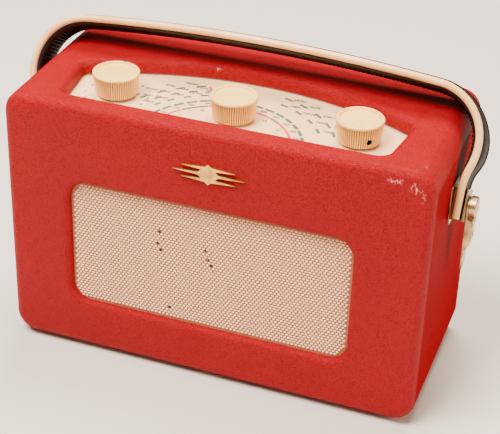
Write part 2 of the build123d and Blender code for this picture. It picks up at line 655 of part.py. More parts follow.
# ================================================================ chassis and controls
with BuildPart() as chassis_plate:
    with BuildSketch(Plane.XY.offset(CHASSIS_BOTTOM)):
        with Locations((0, (CHASSIS_FRONT + CHASSIS_REAR) / 2)):
            Rectangle(2 * CHASSIS_HALF_WIDTH, CHASSIS_REAR - CHASSIS_FRONT)
        with Locations(VOLUME_AT, TUNING_AT, BAND_AT):
            Circle(BUSH_RADIUS, mode=Mode.SUBTRACT)
    extrude(amount=CHASSIS_THICKNESS)
    with BuildSketch(Plane.XY.offset(CHASSIS_TOP)):
        with Locations(*PILLARS):
            Circle(PILLAR_RADIUS)
    extrude(amount=CHASSIS_DROP)
    with BuildSketch(Plane.XY.offset(CHASSIS_BOTTOM)):
        with Locations(*PILLARS):
            Circle(SCREW_RADIUS)
    extrude(amount=CHASSIS_THICKNESS + CHASSIS_DROP, mode=Mode.SUBTRACT)

with BuildPart() as chassis_screws:
    with BuildSketch(Plane.XY.offset(CHASSIS_BOTTOM)):
        with Locations(*PILLARS):
            Circle(SCREW_HEAD_RADIUS)
    extrude(amount=-SCREW_HEAD_HEIGHT)
    with BuildSketch(Plane.XY.offset(CHASSIS_BOTTOM)):
        with Locations(*PILLARS):
            Circle(SCREW_RADIUS)
    extrude(amount=CAVITY_TOP + SCREW_BITE - CHASSIS_BOTTOM)

with BuildPart() as control_nuts:
    with BuildSketch(Plane.XY.offset(CHASSIS_TOP)):
        with Locations(VOLUME_AT, TUNING_AT, BAND_AT):
            RegularPolygon(NUT_ACROSS_FLATS / 2, 6, major_radius=False)
            Circle(BUSH_RADIUS, mode=Mode.SUBTRACT)
    extrude(amount=NUT_HEIGHT)

with BuildPart() as volume_control:
    with BuildSketch(Plane.XY.offset(CHASSIS_BOTTOM)):
        with Locations(VOLUME_AT):
            Circle(VOLUME_BODY_RADIUS)
    extrude(amount=-VOLUME_BODY_HEIGHT)
    fillet(volume_control.edges().group_by(Axis.Z)[0], 1.0)
    add(threaded_bush(VOLUME_AT))
    add(
        spindle_bore(VOLUME_AT, CHASSIS_BOTTOM - VOLUME_BODY_HEIGHT + 2.4, BUSH_TOP),
        mode=Mode.SUBTRACT,
    )
    # solder tags
    with BuildSketch(Plane.XY.offset(CHASSIS_BOTTOM - VOLUME_BODY_HEIGHT + 3)):
        with Locations((VOLUME_AT[0], VOLUME_AT[1] + VOLUME_BODY_RADIUS)):
            with GridLocations(6, 1, 3, 1):
                Rectangle(2.2, 8)
    extrude(amount=0.8)

with BuildPart() as wave_switch:
    with BuildSketch(Plane.XY.offset(CHASSIS_BOTTOM)):
        with Locations(BAND_AT):
            Rectangle(2 * SWITCH_RADIUS, SWITCH_RADIUS)
    extrude(amount=-1.6)
    with BuildSketch(Plane.XY.offset(CHASSIS_BOTTOM)):
        with Locations(BAND_AT):
            with GridLocations(2 * SWITCH_RADIUS - 6, 1, 2, 1):
                Circle(1.8)
    extrude(amount=-SWITCH_HEIGHT)
    with BuildSketch(Plane.XY.offset(CHASSIS_BOTTOM - SWITCH_HEIGHT)):
        with Locations(BAND_AT):
            Circle(SWITCH_RADIUS)
    extrude(amount=2.4)
    add(threaded_bush(BAND_AT))
    add(spindle_bore(BAND_AT, CHASSIS_BOTTOM - SWITCH_HEIGHT, BUSH_TOP), mode=Mode.SUBTRACT)

with BuildPart() as capacitor_frame:
    with BuildSketch(Plane.XY.offset(CHASSIS_BOTTOM)):
        with Locations(TUNING_AT):
            Rectangle(CAPACITOR_SIDE, CAPACITOR_SIDE)
    extrude(amount=-CAPACITOR_HEIGHT)
    with BuildSketch(Plane.XY.offset(CHASSIS_BOTTOM - CAPACITOR_WALL)):
        with Locations(TUNING_AT):
            Rectangle(CAPACITOR_SIDE - 2 * CAPACITOR_WALL, CAPACITOR_SIDE + 2)
    extrude(amount=-(CAPACITOR_HEIGHT - 2 * CAPACITOR_WALL), mode=Mode.SUBTRACT)
    # fixed vanes: half discs open around the spindle, held by the left-hand wall
    for level in range(VANE_COUNT - 1):
        vane_z = FIRST_VANE + VANE_PITCH * (level + 0.5)
        with BuildSketch(Plane.XY.offset(vane_z)):
            with Locations((TUNING_AT[0] - VANE_RADIUS / 2 - 4.0, TUNING_AT[1])):
                Rectangle(VANE_RADIUS, 2 * VANE_RADIUS - 4)
            with Locations(TUNING_AT):
                Circle(SPINDLE_RADIUS + 2.0, mode=Mode.SUBTRACT)
        extrude(amount=VANE_THICKNESS)
    add(threaded_bush(TUNING_AT))
    add(spindle_bore(TUNING_AT, CHASSIS_BOTTOM - CAPACITOR_HEIGHT, BUSH_TOP), mode=Mode.SUBTRACT)

with BuildPart() as capacitor_rotor:
    # moving vanes: half discs joined by a sleeve on the spindle
    with BuildSketch(Plane.XY.offset(FIRST_VANE - 1.5)):
        with Locations(TUNING_AT):
            Circle(SPINDLE_RADIUS + 1.4)
    extrude(amount=VANE_PITCH * (VANE_COUNT - 1) + VANE_THICKNESS + 3.0)
    for level in range(VANE_COUNT):
        with BuildSketch(Plane.XY.offset(FIRST_VANE + VANE_PITCH * level)):
            with Locations(TUNING_AT):
                Circle(VANE_RADIUS)
            with Locations((TUNING_AT[0], TUNING_AT[1] - VANE_RADIUS)):
                Rectangle(2 * VANE_RADIUS, 2 * VANE_RADIUS, mode=Mode.SUBTRACT)
            with Locations(TUNING_AT):
                Circle(SPINDLE_RADIUS + 1.4)
        extrude(amount=VANE_THICKNESS)
    with BuildSketch(Plane.XY.offset(FIRST_VANE - 2)):
        with Locations(TUNING_AT):
            Circle(SPINDLE_RADIUS)
    extrude(amount=VANE_PITCH * VANE_COUNT + 4, mode=Mode.SUBTRACT)

# ================================================================ circuit board
with BuildPart() as circuit_board:
    with BuildSketch(Plane.XY.offset(BOARD_BOTTOM)):
        with Locations((0, (BOARD_FRONT + BOARD_REAR) / 2)):
            RectangleRounded(2 * BOARD_HALF_WIDTH, BOARD_REAR - BOARD_FRONT, 2.0)
    extrude(amount=BOARD_THICKNESS)


def on_board(across, back):
    """Return a place on the board: across in half widths, back from its front edge."""
    return (across * BOARD_HALF_WIDTH, BOARD_FRONT + back)


with BuildPart() as board_spacers:
    with BuildSketch(Plane.XY.offset(BOARD_TOP)):
        with Locations(*SPACERS):
            Circle(SPACER_RADIUS)
    extrude(amount=SPACER_LENGTH)

with BuildPart() as if_cans:
    with BuildSketch(Plane.XY.offset(BOARD_TOP)):
        with Locations(*[on_board(across, 32) for across in (-0.70, -0.50, -0.30, -0.10)]):
            RectangleRounded(CAN_SIDE, CAN_SIDE, 1.0)
    extrude(amount=CAN_HEIGHT)

with BuildPart() as transistors:
    with BuildSketch(Plane.XY.offset(BOARD_TOP)):
        columns = (-0.78, -0.58, -0.38, 0.28, 0.46, 0.64)
        with Locations(*[on_board(across, 14) for across in columns]):
            Circle(TRANSISTOR_RADIUS)
    extrude(amount=TRANSISTOR_HEIGHT)
    fillet(transistors.edges().group_by(Axis.Z)[-1], 1.0)

with BuildPart() as electrolytics:
    with BuildSketch(Plane.XY.offset(BOARD_TOP)):
        with Locations(
            on_board(0.08, 32), on_board(0.20, 32), on_board(-0.86, 28), on_board(-0.64, 44)
        ):
            Circle(ELECTROLYTIC_RADIUS)
    extrude(amount=ELECTROLYTIC_HEIGHT)
    fillet(electrolytics.edges().group_by(Axis.Z)[-1], 0.8)

with BuildPart() as transformers:
    with BuildSketch(Plane.XY.offset(BOARD_TOP)):
        with Locations(on_board(0.42, 30), on_board(0.70, 30)):
            Rectangle(TRANSFORMER_LENGTH, TRANSFORMER_SIDE - 5)
    extrude(amount=TRANSFORMER_SIDE)
    with BuildSketch(Plane.XY.offset(BOARD_TOP + 3)):
        with Locations(on_board(0.42, 30), on_board(0.70, 30)):
            RectangleRounded(TRANSFORMER_LENGTH - 6, TRANSFORMER_SIDE, 2.0)
    extrude(amount=TRANSFORMER_SIDE - 6)

with BuildPart() as ferrite_rod:
    with BuildSketch(side_plane(-ROD_LENGTH / 2)):
        with Locations((ROD_Y, ROD_Z)):
            Circle(ROD_RADIUS)
    extrude(amount=ROD_LENGTH)

with BuildPart() as aerial_coils:
    for side in (-1, 1):
        with BuildSketch(side_plane(side * COIL_X - COIL_LENGTH / 2)):
            with Locations((ROD_Y, ROD_Z)):
                Circle(COIL_RADIUS)
                Circle(ROD_RADIUS, mode=Mode.SUBTRACT)
        extrude(amount=COIL_LENGTH)

with BuildPart() as rod_holders:
    holder_bottom = ROD_Z - ROD_RADIUS - HOLDER_BELOW_ROD
    for side in (-1, 1):
        with BuildSketch(side_plane(side * HOLDER_X - HOLDER_WIDTH / 2)):
            with Locations((ROD_Y, (holder_bottom + CHASSIS_BOTTOM) / 2)):
                Rectangle(HOLDER_DEPTH, CHASSIS_BOTTOM - holder_bottom)
            with Locations((ROD_Y, ROD_Z)):
                Circle(ROD_RADIUS, mode=Mode.SUBTRACT)
        extrude(amount=HOLDER_WIDTH)

# ================================================================ loudspeaker
speaker_plane = Plane(origin=(GRILLE_SHIFT, 0, GRILLE_Z), x_dir=(1, 0, 0), z_dir=(0, 0, 1))
speaker_axis = Axis((GRILLE_SHIFT, 0, GRILLE_Z), (0, 1, 0))

with BuildPart() as speaker_frame:
    with BuildSketch(speaker_plane):
        with BuildLine():
            Polyline(
                (SPEAKER_HOLE_RADIUS, BAFFLE_REAR),
                (SPEAKER_RADIUS, BAFFLE_REAR),
                (SPEAKER_RADIUS, BAFFLE_REAR + SPEAKER_WALL),
                (SPEAKER_HOLE_RADIUS + 1, BAFFLE_REAR + SPEAKER_WALL),
                (SPEAKER_HOLE_RADIUS - 1, BAFFLE_REAR + 7.0),
                (SPEAKER_BACK_RADIUS + 2, SPEAKER_BACK),
                (VOICE_COIL_RADIUS, SPEAKER_BACK),
                (VOICE_COIL_RADIUS, SPEAKER_BACK - SPEAKER_WALL),
                (SPEAKER_BACK_RADIUS + 1, SPEAKER_BACK - SPEAKER_WALL),
                (SPEAKER_HOLE_RADIUS - 2.6, BAFFLE_REAR + 6.6),
                close=True,
            )
        make_face()
    revolve(axis=speaker_axis)
    # basket windows
    with BuildSketch(rear_plane(SPEAKER_BACK + 1)):
        with Locations((GRILLE_SHIFT, GRILLE_Z)):
            with PolarLocations((SPEAKER_BACK_RADIUS + SPEAKER_HOLE_RADIUS) / 2 + 1, 6):
                RectangleRounded(11, 18, 4.0)
    extrude(amount=SPEAKER_DEPTH - 6, mode=Mode.SUBTRACT)
    # fixing holes in the flange
    with BuildSketch(rear_plane(BAFFLE_REAR + SPEAKER_WALL)):
        with Locations((GRILLE_SHIFT, GRILLE_Z)):
            with PolarLocations(SPEAKER_SCREW_CIRCLE, 4, start_angle=45):
                Circle(SCREW_RADIUS)
    extrude(amount=SPEAKER_WALL, mode=Mode.SUBTRACT)

with BuildPart() as speaker_cone:
    with BuildSketch(speaker_plane):
        with BuildLine():
            Polyline(
                (SPEAKER_HOLE_RADIUS + 1.5, BAFFLE_REAR),
                (SPEAKER_HOLE_RADIUS - 3.5, BAFFLE_REAR),
                (VOICE_COIL_RADIUS - 2, SPEAKER_BACK - 8.0),
                (0, SPEAKER_BACK - 9.5),
                (0, SPEAKER_BACK - 8.9),
                (VOICE_COIL_RADIUS - 2.4, SPEAKER_BACK - 7.4),
                (VOICE_COIL_RADIUS - 2.4, SPEAKER_BACK - 0.5),
                (VOICE_COIL_RADIUS - 1.6, SPEAKER_BACK - 0.5),
                (VOICE_COIL_RADIUS - 1.6, SPEAKER_BACK - 7.6),
                (SPEAKER_HOLE_RADIUS - 3.2, BAFFLE_REAR + CONE_THICKNESS),
                (SPEAKER_HOLE_RADIUS + 0.2, BAFFLE_REAR + CONE_THICKNESS),
                close=True,
            )
        make_face()
    revolve(axis=speaker_axis)
    add(speaker_frame.part, mode=Mode.SUBTRACT)

with BuildPart() as speaker_magnet:
    with BuildSketch(rear_plane(SPEAKER_BACK + MAGNET_LENGTH)):
        with Locations((GRILLE_SHIFT, GRILLE_Z)):
            Circle(MAGNET_RADIUS)
    extrude(amount=MAGNET_LENGTH)
    chamfer(speaker_magnet.edges().group_by(Axis.Y)[-1], 1.0)

with BuildPart() as speaker_screws:
    with BuildSketch(rear_plane(BAFFLE_REAR + SPEAKER_WALL + SCREW_HEAD_HEIGHT)):
        with Locations((GRILLE_SHIFT, GRILLE_Z)):
            with PolarLocations(SPEAKER_SCREW_CIRCLE, 4, start_angle=45):
                Circle(SPEAKER_SCREW_HEAD_RADIUS)
    extrude(amount=SCREW_HEAD_HEIGHT)
    with BuildSketch(rear_plane(BAFFLE_REAR + SPEAKER_WALL)):
        with Locations((GRILLE_SHIFT, GRILLE_Z)):
            with PolarLocations(SPEAKER_SCREW_CIRCLE, 4, start_angle=45):
                Circle(SCREW_RADIUS)
    extrude(amount=SPEAKER_WALL + BAFFLE_THICKNESS)

# ================================================================ battery
battery_studs = [
    (BATTERY_X - BATTERY_STUD_SPACING / 2, BATTERY_Y),
    (BATTERY_X + BATTERY_STUD_SPACING / 2, BATTERY_Y),
]

with BuildPart() as battery:
    with BuildSketch(Plane.XY.offset(CAVITY_BOTTOM)):
        with Locations((BATTERY_X, BATTERY_Y)):
            RectangleRounded(BATTERY_WIDTH, BATTERY_DEPTH, 3.0)
    extrude(amount=BATTERY_HEIGHT)
    with BuildSketch(Plane.XY.offset(BATTERY_TOP)):
        with Locations(*battery_studs):
            Circle(BATTERY_STUD_RADIUS)
    extrude(amount=BATTERY_STUD_HEIGHT)

with BuildPart() as battery_snaps:
    with BuildSketch(Plane.XY.offset(BATTERY_TOP)):
        with Locations(*battery_studs):
            Circle(SNAP_RADIUS)
    extrude(amount=SNAP_HEIGHT)
    with BuildSketch(Plane.XY.offset(BATTERY_TOP)):
        with Locations(*battery_studs):
            Circle(BATTERY_STUD_RADIUS)
    extrude(amount=BATTERY_STUD_HEIGHT, mode=Mode.SUBTRACT)

# ================================================================ rear door
with BuildPart() as rear_door:
    with BuildSketch(rear_plane(REAR_Y - CLOTH)):
        with Locations((0, DOOR_MIDDLE_Z)):
            RectangleRounded(
                2 * (CAVITY_HALF_WIDTH - DOOR_GAP), DOOR_TOP - DOOR_BOTTOM, DOOR_CORNER
            )
        with Locations((0, CATCH_Z)):
            Circle(CATCH_SHANK_RADIUS + SPINDLE_CLEARANCE, mode=Mode.SUBTRACT)
    extrude(amount=DOOR_THICKNESS)

with BuildPart() as rear_door_covering:
    with BuildSketch(rear_plane(REAR_Y)):
        with Locations((0, DOOR_MIDDLE_Z)):
            RectangleRounded(
                2 * (CAVITY_HALF_WIDTH - DOOR_GAP), DOOR_TOP - DOOR_BOTTOM, DOOR_CORNER
            )
        with Locations((0, CATCH_Z)):
            Circle(CATCH_SHANK_RADIUS + SPINDLE_CLEARANCE, mode=Mode.SUBTRACT)
    extrude(amount=CLOTH)
    fillet(
        rear_door_covering.faces().sort_by(Axis.Y)[-1].outer_wire().edges(), 0.5
    )

with BuildPart() as rear_catch:
    disc_inner = REAR_Y + CATCH_DISC_GAP
    with BuildSketch(rear_plane(disc_inner + CATCH_DISC_HEIGHT)):
        with Locations((0, CATCH_Z)):
            Circle(CATCH_DISC_RADIUS)
    extrude(amount=CATCH_DISC_HEIGHT)
    fillet(rear_catch.edges().group_by(Axis.Y)[-1], 0.5)
    with BuildSketch(rear_plane(disc_inner + CATCH_DISC_HEIGHT)):
        with Locations((0, CATCH_Z)):
            Rectangle(11, 1.8)
    extrude(amount=0.8, mode=Mode.SUBTRACT)
    with BuildSketch(rear_plane(disc_inner)):
        with Locations((0, CATCH_Z)):
            Circle(CATCH_SHANK_RADIUS)
    extrude(amount=disc_inner - CATCH_TONGUE_FRONT)
    with BuildSketch(rear_plane(CATCH_TONGUE_REAR)):
        with Locations((0, CATCH_Z)):
            RectangleRounded(2 * CATCH_TONGUE_REACH, CATCH_TONGUE_WIDTH, 2.0)
    extrude(amount=CATCH_TONGUE_THICKNESS)

with BuildPart() as hinge_leaf_cabinet:
    leaf_top = HINGE_Z
    with BuildSketch(rear_plane(REAR_Y + HINGE_LEAF)):
        with Locations((0, leaf_top - HINGE_CABINET_LEAF_HEIGHT / 2)):
            Rectangle(2 * HINGE_HALF_LENGTH, HINGE_CABINET_LEAF_HEIGHT)
        with Locations((0, leaf_top)):
            Rectangle(
                2 * (HINGE_MIDDLE_HALF_LENGTH + HINGE_END_GAP),
                HINGE_NOTCH_HEIGHT,
                mode=Mode.SUBTRACT,
            )
    extrude(amount=HINGE_LEAF)
    outer_knuckle = HINGE_HALF_LENGTH - HINGE_MIDDLE_HALF_LENGTH - HINGE_END_GAP
    for start in (-HINGE_HALF_LENGTH, HINGE_MIDDLE_HALF_LENGTH + HINGE_END_GAP):
        with BuildSketch(side_plane(start)):
            with Locations((HINGE_Y, HINGE_Z)):
                Circle(HINGE_KNUCKLE_RADIUS)
        extrude(amount=outer_knuckle)
    with BuildSketch(side_plane(-HINGE_HALF_LENGTH)):
        with Locations((HINGE_Y, HINGE_Z)):
            Circle(HINGE_PIN_RADIUS)
    extrude(amount=2 * HINGE_HALF_LENGTH, mode=Mode.SUBTRACT)

with BuildPart() as hinge_leaf_door:
    with BuildSketch(rear_plane(REAR_Y + HINGE_LEAF)):
        with Locations((0, HINGE_Z + HINGE_LEAF_HEIGHT / 2)):
            Rectangle(2 * HINGE_HALF_LENGTH, HINGE_LEAF_HEIGHT)
        for side in (-1, 1):
            with Locations((side * (HINGE_HALF_LENGTH + HINGE_MIDDLE_HALF_LENGTH) / 2, HINGE_Z)):
                Rectangle(
                    HINGE_HALF_LENGTH - HINGE_MIDDLE_HALF_LENGTH,
                    HINGE_NOTCH_HEIGHT,
                    mode=Mode.SUBTRACT,
                )
    extrude(amount=HINGE_LEAF)
    with BuildSketch(side_plane(-HINGE_MIDDLE_HALF_LENGTH)):
        with Locations((HINGE_Y, HINGE_Z)):
            Circle(HINGE_KNUCKLE_RADIUS)
    extrude(amount=2 * HINGE_MIDDLE_HALF_LENGTH)
    with BuildSketch(side_plane(-HINGE_MIDDLE_HALF_LENGTH)):
        with Locations((HINGE_Y, HINGE_Z)):
            Circle(HINGE_PIN_RADIUS + SPINDLE_CLEARANCE)
    extrude(amount=2 * HINGE_MIDDLE_HALF_LENGTH, mode=Mode.SUBTRACT)

with BuildPart() as hinge_pin:
    with BuildSketch(side_plane(-HINGE_HALF_LENGTH)):
        with Locations((HINGE_Y, HINGE_Z)):
            Circle(HINGE_PIN_RADIUS)
    extrude(amount=2 * HINGE_HALF_LENGTH)

# ================================================================ turntable
with BuildPart() as turntable_felt:
    with BuildSketch(Plane.XY):
        Circle(TURNTABLE_RADIUS)
    extrude(amount=FELT_THICKNESS)

with BuildPart() as turntable_plate:
    with BuildSketch(Plane.XY.offset(FELT_THICKNESS)):
        Circle(TURNTABLE_RADIUS)
        Circle(PIVOT_RADIUS, mode=Mode.SUBTRACT)
    extrude(amount=TURNTABLE_THICKNESS)

with BuildPart() as turntable_pivot:
    with BuildSketch(Plane.XY.offset(FELT_THICKNESS)):
        Circle(PIVOT_RADIUS)
    extrude(amount=CAVITY_BOTTOM + PIVOT_ABOVE_FLOOR - FELT_THICKNESS)
    with BuildSketch(Plane.XY.offset(CAVITY_BOTTOM + PIVOT_NUT_GAP)):
        RegularPolygon(PIVOT_NUT_ACROSS_FLATS / 2, 6, major_radius=False)
    extrude(amount=PIVOT_NUT_HEIGHT)

# ================================================================ strap handle
lean = radians(HANDLE_LEAN)
loop_plane = Plane(
    origin=(0, HANDLE_AXIS_Y, HANDLE_AXIS_Z),
    x_dir=(1, 0, 0),
    z_dir=(0, -cos(lean), sin(lean)),
)

with BuildLine() as strap_curve:
    for side in (1, -1):
        foot = (side * STRAP_END_X, -STRAP_END_DROP)
        bend = (side * STRAP_END_X, STRAP_STRAIGHT)
        halfway = (
            side * (STRAP_END_X + STRAP_BULGE_X) / 2,
            (STRAP_STRAIGHT + STRAP_BULGE_RISE) / 2,
        )
        bulge = (side * STRAP_BULGE_X, STRAP_BULGE_RISE)
        shoulder = (side * STRAP_SHOULDER_X, STRAP_SHOULDER_RISE)
        Line(foot, bend)
        outward_curve = TangentArc(bend, halfway, tangent=(0, 1))
        TangentArc(halfway, bulge, tangent=outward_curve % 1)
        turn_over = TangentArc(bulge, shoulder, tangent=(0, 1))
        if side == 1:
            left_shoulder = (-STRAP_SHOULDER_X, STRAP_SHOULDER_RISE)
            TangentArc(shoulder, left_shoulder, tangent=turn_over % 1)
strap_wire = loop_plane.from_local_coords(strap_curve.wire())

# the strap's section lies across the curve's right-hand foot: local X outwards, local Y
# towards the rear
section_origin = loop_plane.from_local_coords((STRAP_END_X, -STRAP_END_DROP, 0))
section_plane = Plane(
    origin=section_origin, x_dir=(1, 0, 0), z_dir=(0, sin(lean), cos(lean))
)

with BuildPart() as handle_strap:
    with BuildSketch(section_plane):
        RectangleRounded(STRAP_THICKNESS, 2 * PIPING_OFFSET, STRAP_THICKNESS / 2 - 0.1)
        with Locations((0, PIPING_OFFSET), (0, -PIPING_OFFSET)):
            Circle(PIPING_RADIUS, mode=Mode.SUBTRACT)
    sweep(path=strap_wire)
    for side in (-1, 1):
        with BuildSketch(side_plane(side * SIDE_X)):
            with Locations((HANDLE_AXIS_Y, HANDLE_AXIS_Z)):
                Circle(STUD_RADIUS + STUD_CLEARANCE)
        extrude(amount=side * (STUD_HEAD_X - SIDE_X), mode=Mode.SUBTRACT)


def make_piping(towards_rear):
    """Return one of the two cords of piping along the strap's edges."""
    with BuildPart() as cord:
        with BuildSketch(section_plane):
            with Locations((0, towards_rear)):
                Circle(PIPING_RADIUS)
        sweep(path=strap_wire)
    return cord


strap_piping_front = make_piping(-PIPING_OFFSET)
strap_piping_rear = make_piping(PIPING_OFFSET)


def make_ferrule(side):
    """Return the folded metal end that wraps the strap at one side."""
    with BuildPart() as ferrule:
        with BuildSketch(loop_plane.offset(-FERRULE_HALF_WIDTH)):
            with BuildLine():
                Polyline(
                    (side * FERRULE_INNER_X, FERRULE_TOP),
                    (side * FERRULE_INNER_X, -STRAP_END_DROP - FERRULE_WALL),
                    (side * FERRULE_OUTER_X, -STRAP_END_DROP - FERRULE_WALL),
                    (side * FERRULE_OUTER_X, FERRULE_TOP),
                    (side * STRAP_OUTER_X, FERRULE_TOP),
                    (side * STRAP_OUTER_X, -STRAP_END_DROP),
                    (side * STRAP_INNER_X, -STRAP_END_DROP),
                    (side * STRAP_INNER_X, FERRULE_TOP),
                    close=True,
                )
            make_face()
        extrude(amount=2 * FERRULE_HALF_WIDTH)
        with BuildSketch(side_plane(side * SIDE_X)):
            with Locations((HANDLE_AXIS_Y, HANDLE_AXIS_Z)):
                Circle(STUD_RADIUS + STUD_CLEARANCE)
        extrude(amount=side * (STUD_HEAD_X - SIDE_X), mode=Mode.SUBTRACT)
    return ferrule


strap_end_left = make_ferrule(-1)
strap_end_right = make_ferrule(1)


def make_bracket(side):
    """Return the nailed plate behind the strap's end, bored for the stud and nails."""
    with BuildPart() as bracket:
        with BuildSketch(side_plane(side * SIDE_X)):
            with Locations((HANDLE_AXIS_Y, HANDLE_AXIS_Z + (BRACKET_ABOVE - BRACKET_BELOW) / 2)):
                RectangleRounded(2 * BRACKET_HALF_WIDTH, BRACKET_ABOVE + BRACKET_BELOW, 2.0)
            with Locations((HANDLE_AXIS_Y, HANDLE_AXIS_Z)):
                Circle(STUD_RADIUS, mode=Mode.SUBTRACT)
            with Locations(*NAILS):
                Circle(NAIL_HEAD_RADIUS, mode=Mode.SUBTRACT)
        extrude(amount=side * BRACKET_THICKNESS)
    return bracket


handle_bracket_left = make_bracket(-1)
handle_bracket_right = make_bracket(1)

with BuildPart() as bracket_nails:
    for side in (-1, 1):
        with BuildSketch(side_plane(side * SIDE_X)):
            with Locations(*NAILS):
                Circle(NAIL_HEAD_RADIUS)
        extrude(amount=side * BRACKET_THICKNESS)
        with BuildSketch(side_plane(side * SIDE_X)):
            with Locations(*NAILS):
                Circle(NAIL_SHANK_RADIUS)
        extrude(amount=-side * NAIL_LENGTH)

with BuildPart() as handle_studs:
    for side in (-1, 1):
        with BuildSketch(side_plane(side * (SIDE_X - STUD_BITE))):
            with Locations((HANDLE_AXIS_Y, HANDLE_AXIS_Z)):
                Circle(STUD_RADIUS)
        extrude(amount=side * (STUD_HEAD_X - SIDE_X + STUD_BITE))
        with BuildSketch(side_plane(side * STUD_HEAD_X)):
            with Locations((HANDLE_AXIS_Y, HANDLE_AXIS_Z)):
                Circle(STUD_HEAD_RADIUS)
        extrude(amount=side * STUD_HEAD_LENGTH)
    fillet(handle_studs.edges().group_by(Axis.X)[-1], 0.7)
    fillet(handle_studs.edges().group_by(Axis.X)[0], 0.7)


def make_catch_lever(side):
    """Return the hanging catch: an eye on the stud, a long leaf and a cupped thumb piece."""
    cup_face = CATCH_OUTER_X + CATCH_CUP_DEPTH
    with BuildPart() as lever:
        with BuildSketch(side_plane(side * CATCH_INNER_X)):
            with Locations((HANDLE_AXIS_Y, HANDLE_AXIS_Z)):
                Circle(CATCH_EYE_RADIUS)
            with Locations((HANDLE_AXIS_Y, HANDLE_AXIS_Z - CATCH_TAIL / 2)):
                Rectangle(2 * CATCH_HALF_WIDTH, CATCH_TAIL)
            with Locations((HANDLE_AXIS_Y, HANDLE_AXIS_Z)):
                Circle(STUD_RADIUS + STUD_CLEARANCE, mode=Mode.SUBTRACT)
        extrude(amount=side * CATCH_PLATE)
        with BuildSketch(rear_plane(HANDLE_AXIS_Y + CATCH_HALF_WIDTH)):
            with BuildLine():
                Polyline(
                    (side * CATCH_OUTER_X, HANDLE_AXIS_Z - CATCH_CUP_TOP),
                    (side * (cup_face - 0.6), HANDLE_AXIS_Z - CATCH_CUP_TOP - 0.8),
                    (side * cup_face, HANDLE_AXIS_Z - CATCH_CUP_TOP - 2.5),
                    (side * (cup_face - 0.4), HANDLE_AXIS_Z - CATCH_CUP_BOTTOM + 4.5),
                    (side * (CATCH_OUTER_X + 1.0), HANDLE_AXIS_Z - CATCH_CUP_BOTTOM),
                    (side * CATCH_OUTER_X, HANDLE_AXIS_Z - CATCH_CUP_BOTTOM),
                    close=True,
                )
            make_face()
        extrude(amount=2 * CATCH_HALF_WIDTH)
        # the cup is hollow between its cheeks and opens at the rear
        with BuildSketch(rear_plane(HANDLE_AXIS_Y + CATCH_HALF_WIDTH)):
            with BuildLine():
                Polyline(
                    (side * CATCH_OUTER_X, HANDLE_AXIS_Z - CATCH_CUP_TOP - 1.2),
                    (side * (cup_face - 1.2), HANDLE_AXIS_Z - CATCH_CUP_TOP - 1.8),
                    (side * (cup_face - 0.8), HANDLE_AXIS_Z - CATCH_CUP_TOP - 3.0),
                    (side * (cup_face - 1.2), HANDLE_AXIS_Z - CATCH_CUP_BOTTOM + 5.0),
                    (side * CATCH_OUTER_X, HANDLE_AXIS_Z - CATCH_CUP_BOTTOM + 2.0),
                    close=True,
                )
            make_face()
        extrude(amount=2 * CATCH_HALF_WIDTH - 0.8, mode=Mode.SUBTRACT)
        with BuildSketch(side_plane(side * CATCH_OUTER_X)):
            with Locations((HANDLE_AXIS_Y, HANDLE_AXIS_Z - 16.5)):
                Circle(1.3)
        extrude(amount=side * (CATCH_CUP_DEPTH + 1), mode=Mode.SUBTRACT)
        tail_end = lever.edges().filter_by(Axis.X).group_by(Axis.Z)[0]
        fillet(tail_end, 2.0)
    return lever


catch_lever_left = make_catch_lever(-1)
catch_lever_right = make_catch_lever(1)

# ================================================================ export
pieces = {
    "cabinet_shell": cabinet_shell,
    "cabinet_covering": cabinet_covering,
    "speaker_grille": speaker_grille,
    "speaker_baffle": speaker_baffle,
    "speaker_frame": speaker_frame,
    "speaker_cone": speaker_cone,
    "speaker_magnet": speaker_magnet,
    "speaker_screws": speaker_screws,
    "badge": badge,
    "dial_window": dial_window,
    "dial_plate": dial_plate,
    "tuning_cursor": tuning_cursor,
    "knob_washers": knob_washers,
    "knob_volume": knob_volume,
    "knob_tuning": knob_tuning,
    "knob_band": knob_band,
    "grub_screw_volume": grub_screw_volume,
    "grub_screw_tuning": grub_screw_tuning,
    "grub_screw_band": grub_screw_band,
    "spindle_volume": spindle_volume,
    "spindle_tuning": spindle_tuning,
    "spindle_band": spindle_band,
    "chassis_plate": chassis_plate,
    "chassis_screws": chassis_screws,
    "control_nuts": control_nuts,
    "volume_control": volume_control,
    "wave_switch": wave_switch,
    "capacitor_frame": capacitor_frame,
    "capacitor_rotor": capacitor_rotor,
    "circuit_board": circuit_board,
    "board_spacers": board_spacers,
    "if_cans": if_cans,
    "transistors": transistors,
    "electrolytics": electrolytics,
    "transformers": transformers,
    "ferrite_rod": ferrite_rod,
    "aerial_coils": aerial_coils,
    "rod_holders": rod_holders,
    "battery": battery,
    "battery_snaps": battery_snaps,
    "rear_door": rear_door,
    "rear_door_covering": rear_door_covering,
    "rear_catch": rear_catch,
    "hinge_leaf_cabinet": hinge_leaf_cabinet,
    "hinge_leaf_door": hinge_leaf_door,
    "hinge_pin": hinge_pin,
    "turntable_felt": turntable_felt,
    "turntable_plate": turntable_plate,
    "turntable_pivot": turntable_pivot,
    "handle_strap": handle_strap,
    "strap_piping_front": strap_piping_front,
    "strap_piping_rear": strap_piping_rear,
    "strap_end_left": strap_end_left,
    "strap_end_right": strap_end_right,
    "handle_bracket_left": handle_bracket_left,
    "handle_bracket_right": handle_bracket_right,
    "bracket_nails": bracket_nails,
    "handle_studs": handle_studs,
    "catch_lever_left": catch_lever_left,
    "catch_lever_right": catch_lever_right,
}

os.makedirs("parts", exist_ok=True)
for name, piece in pieces.items():
    piece.part.label = name
    export_step(piece.part, f"parts/{name}.step")
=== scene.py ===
import json
import logging
import math
from dataclasses import dataclass
from enum import Enum

import bpy
from mathutils import Matrix, Vector

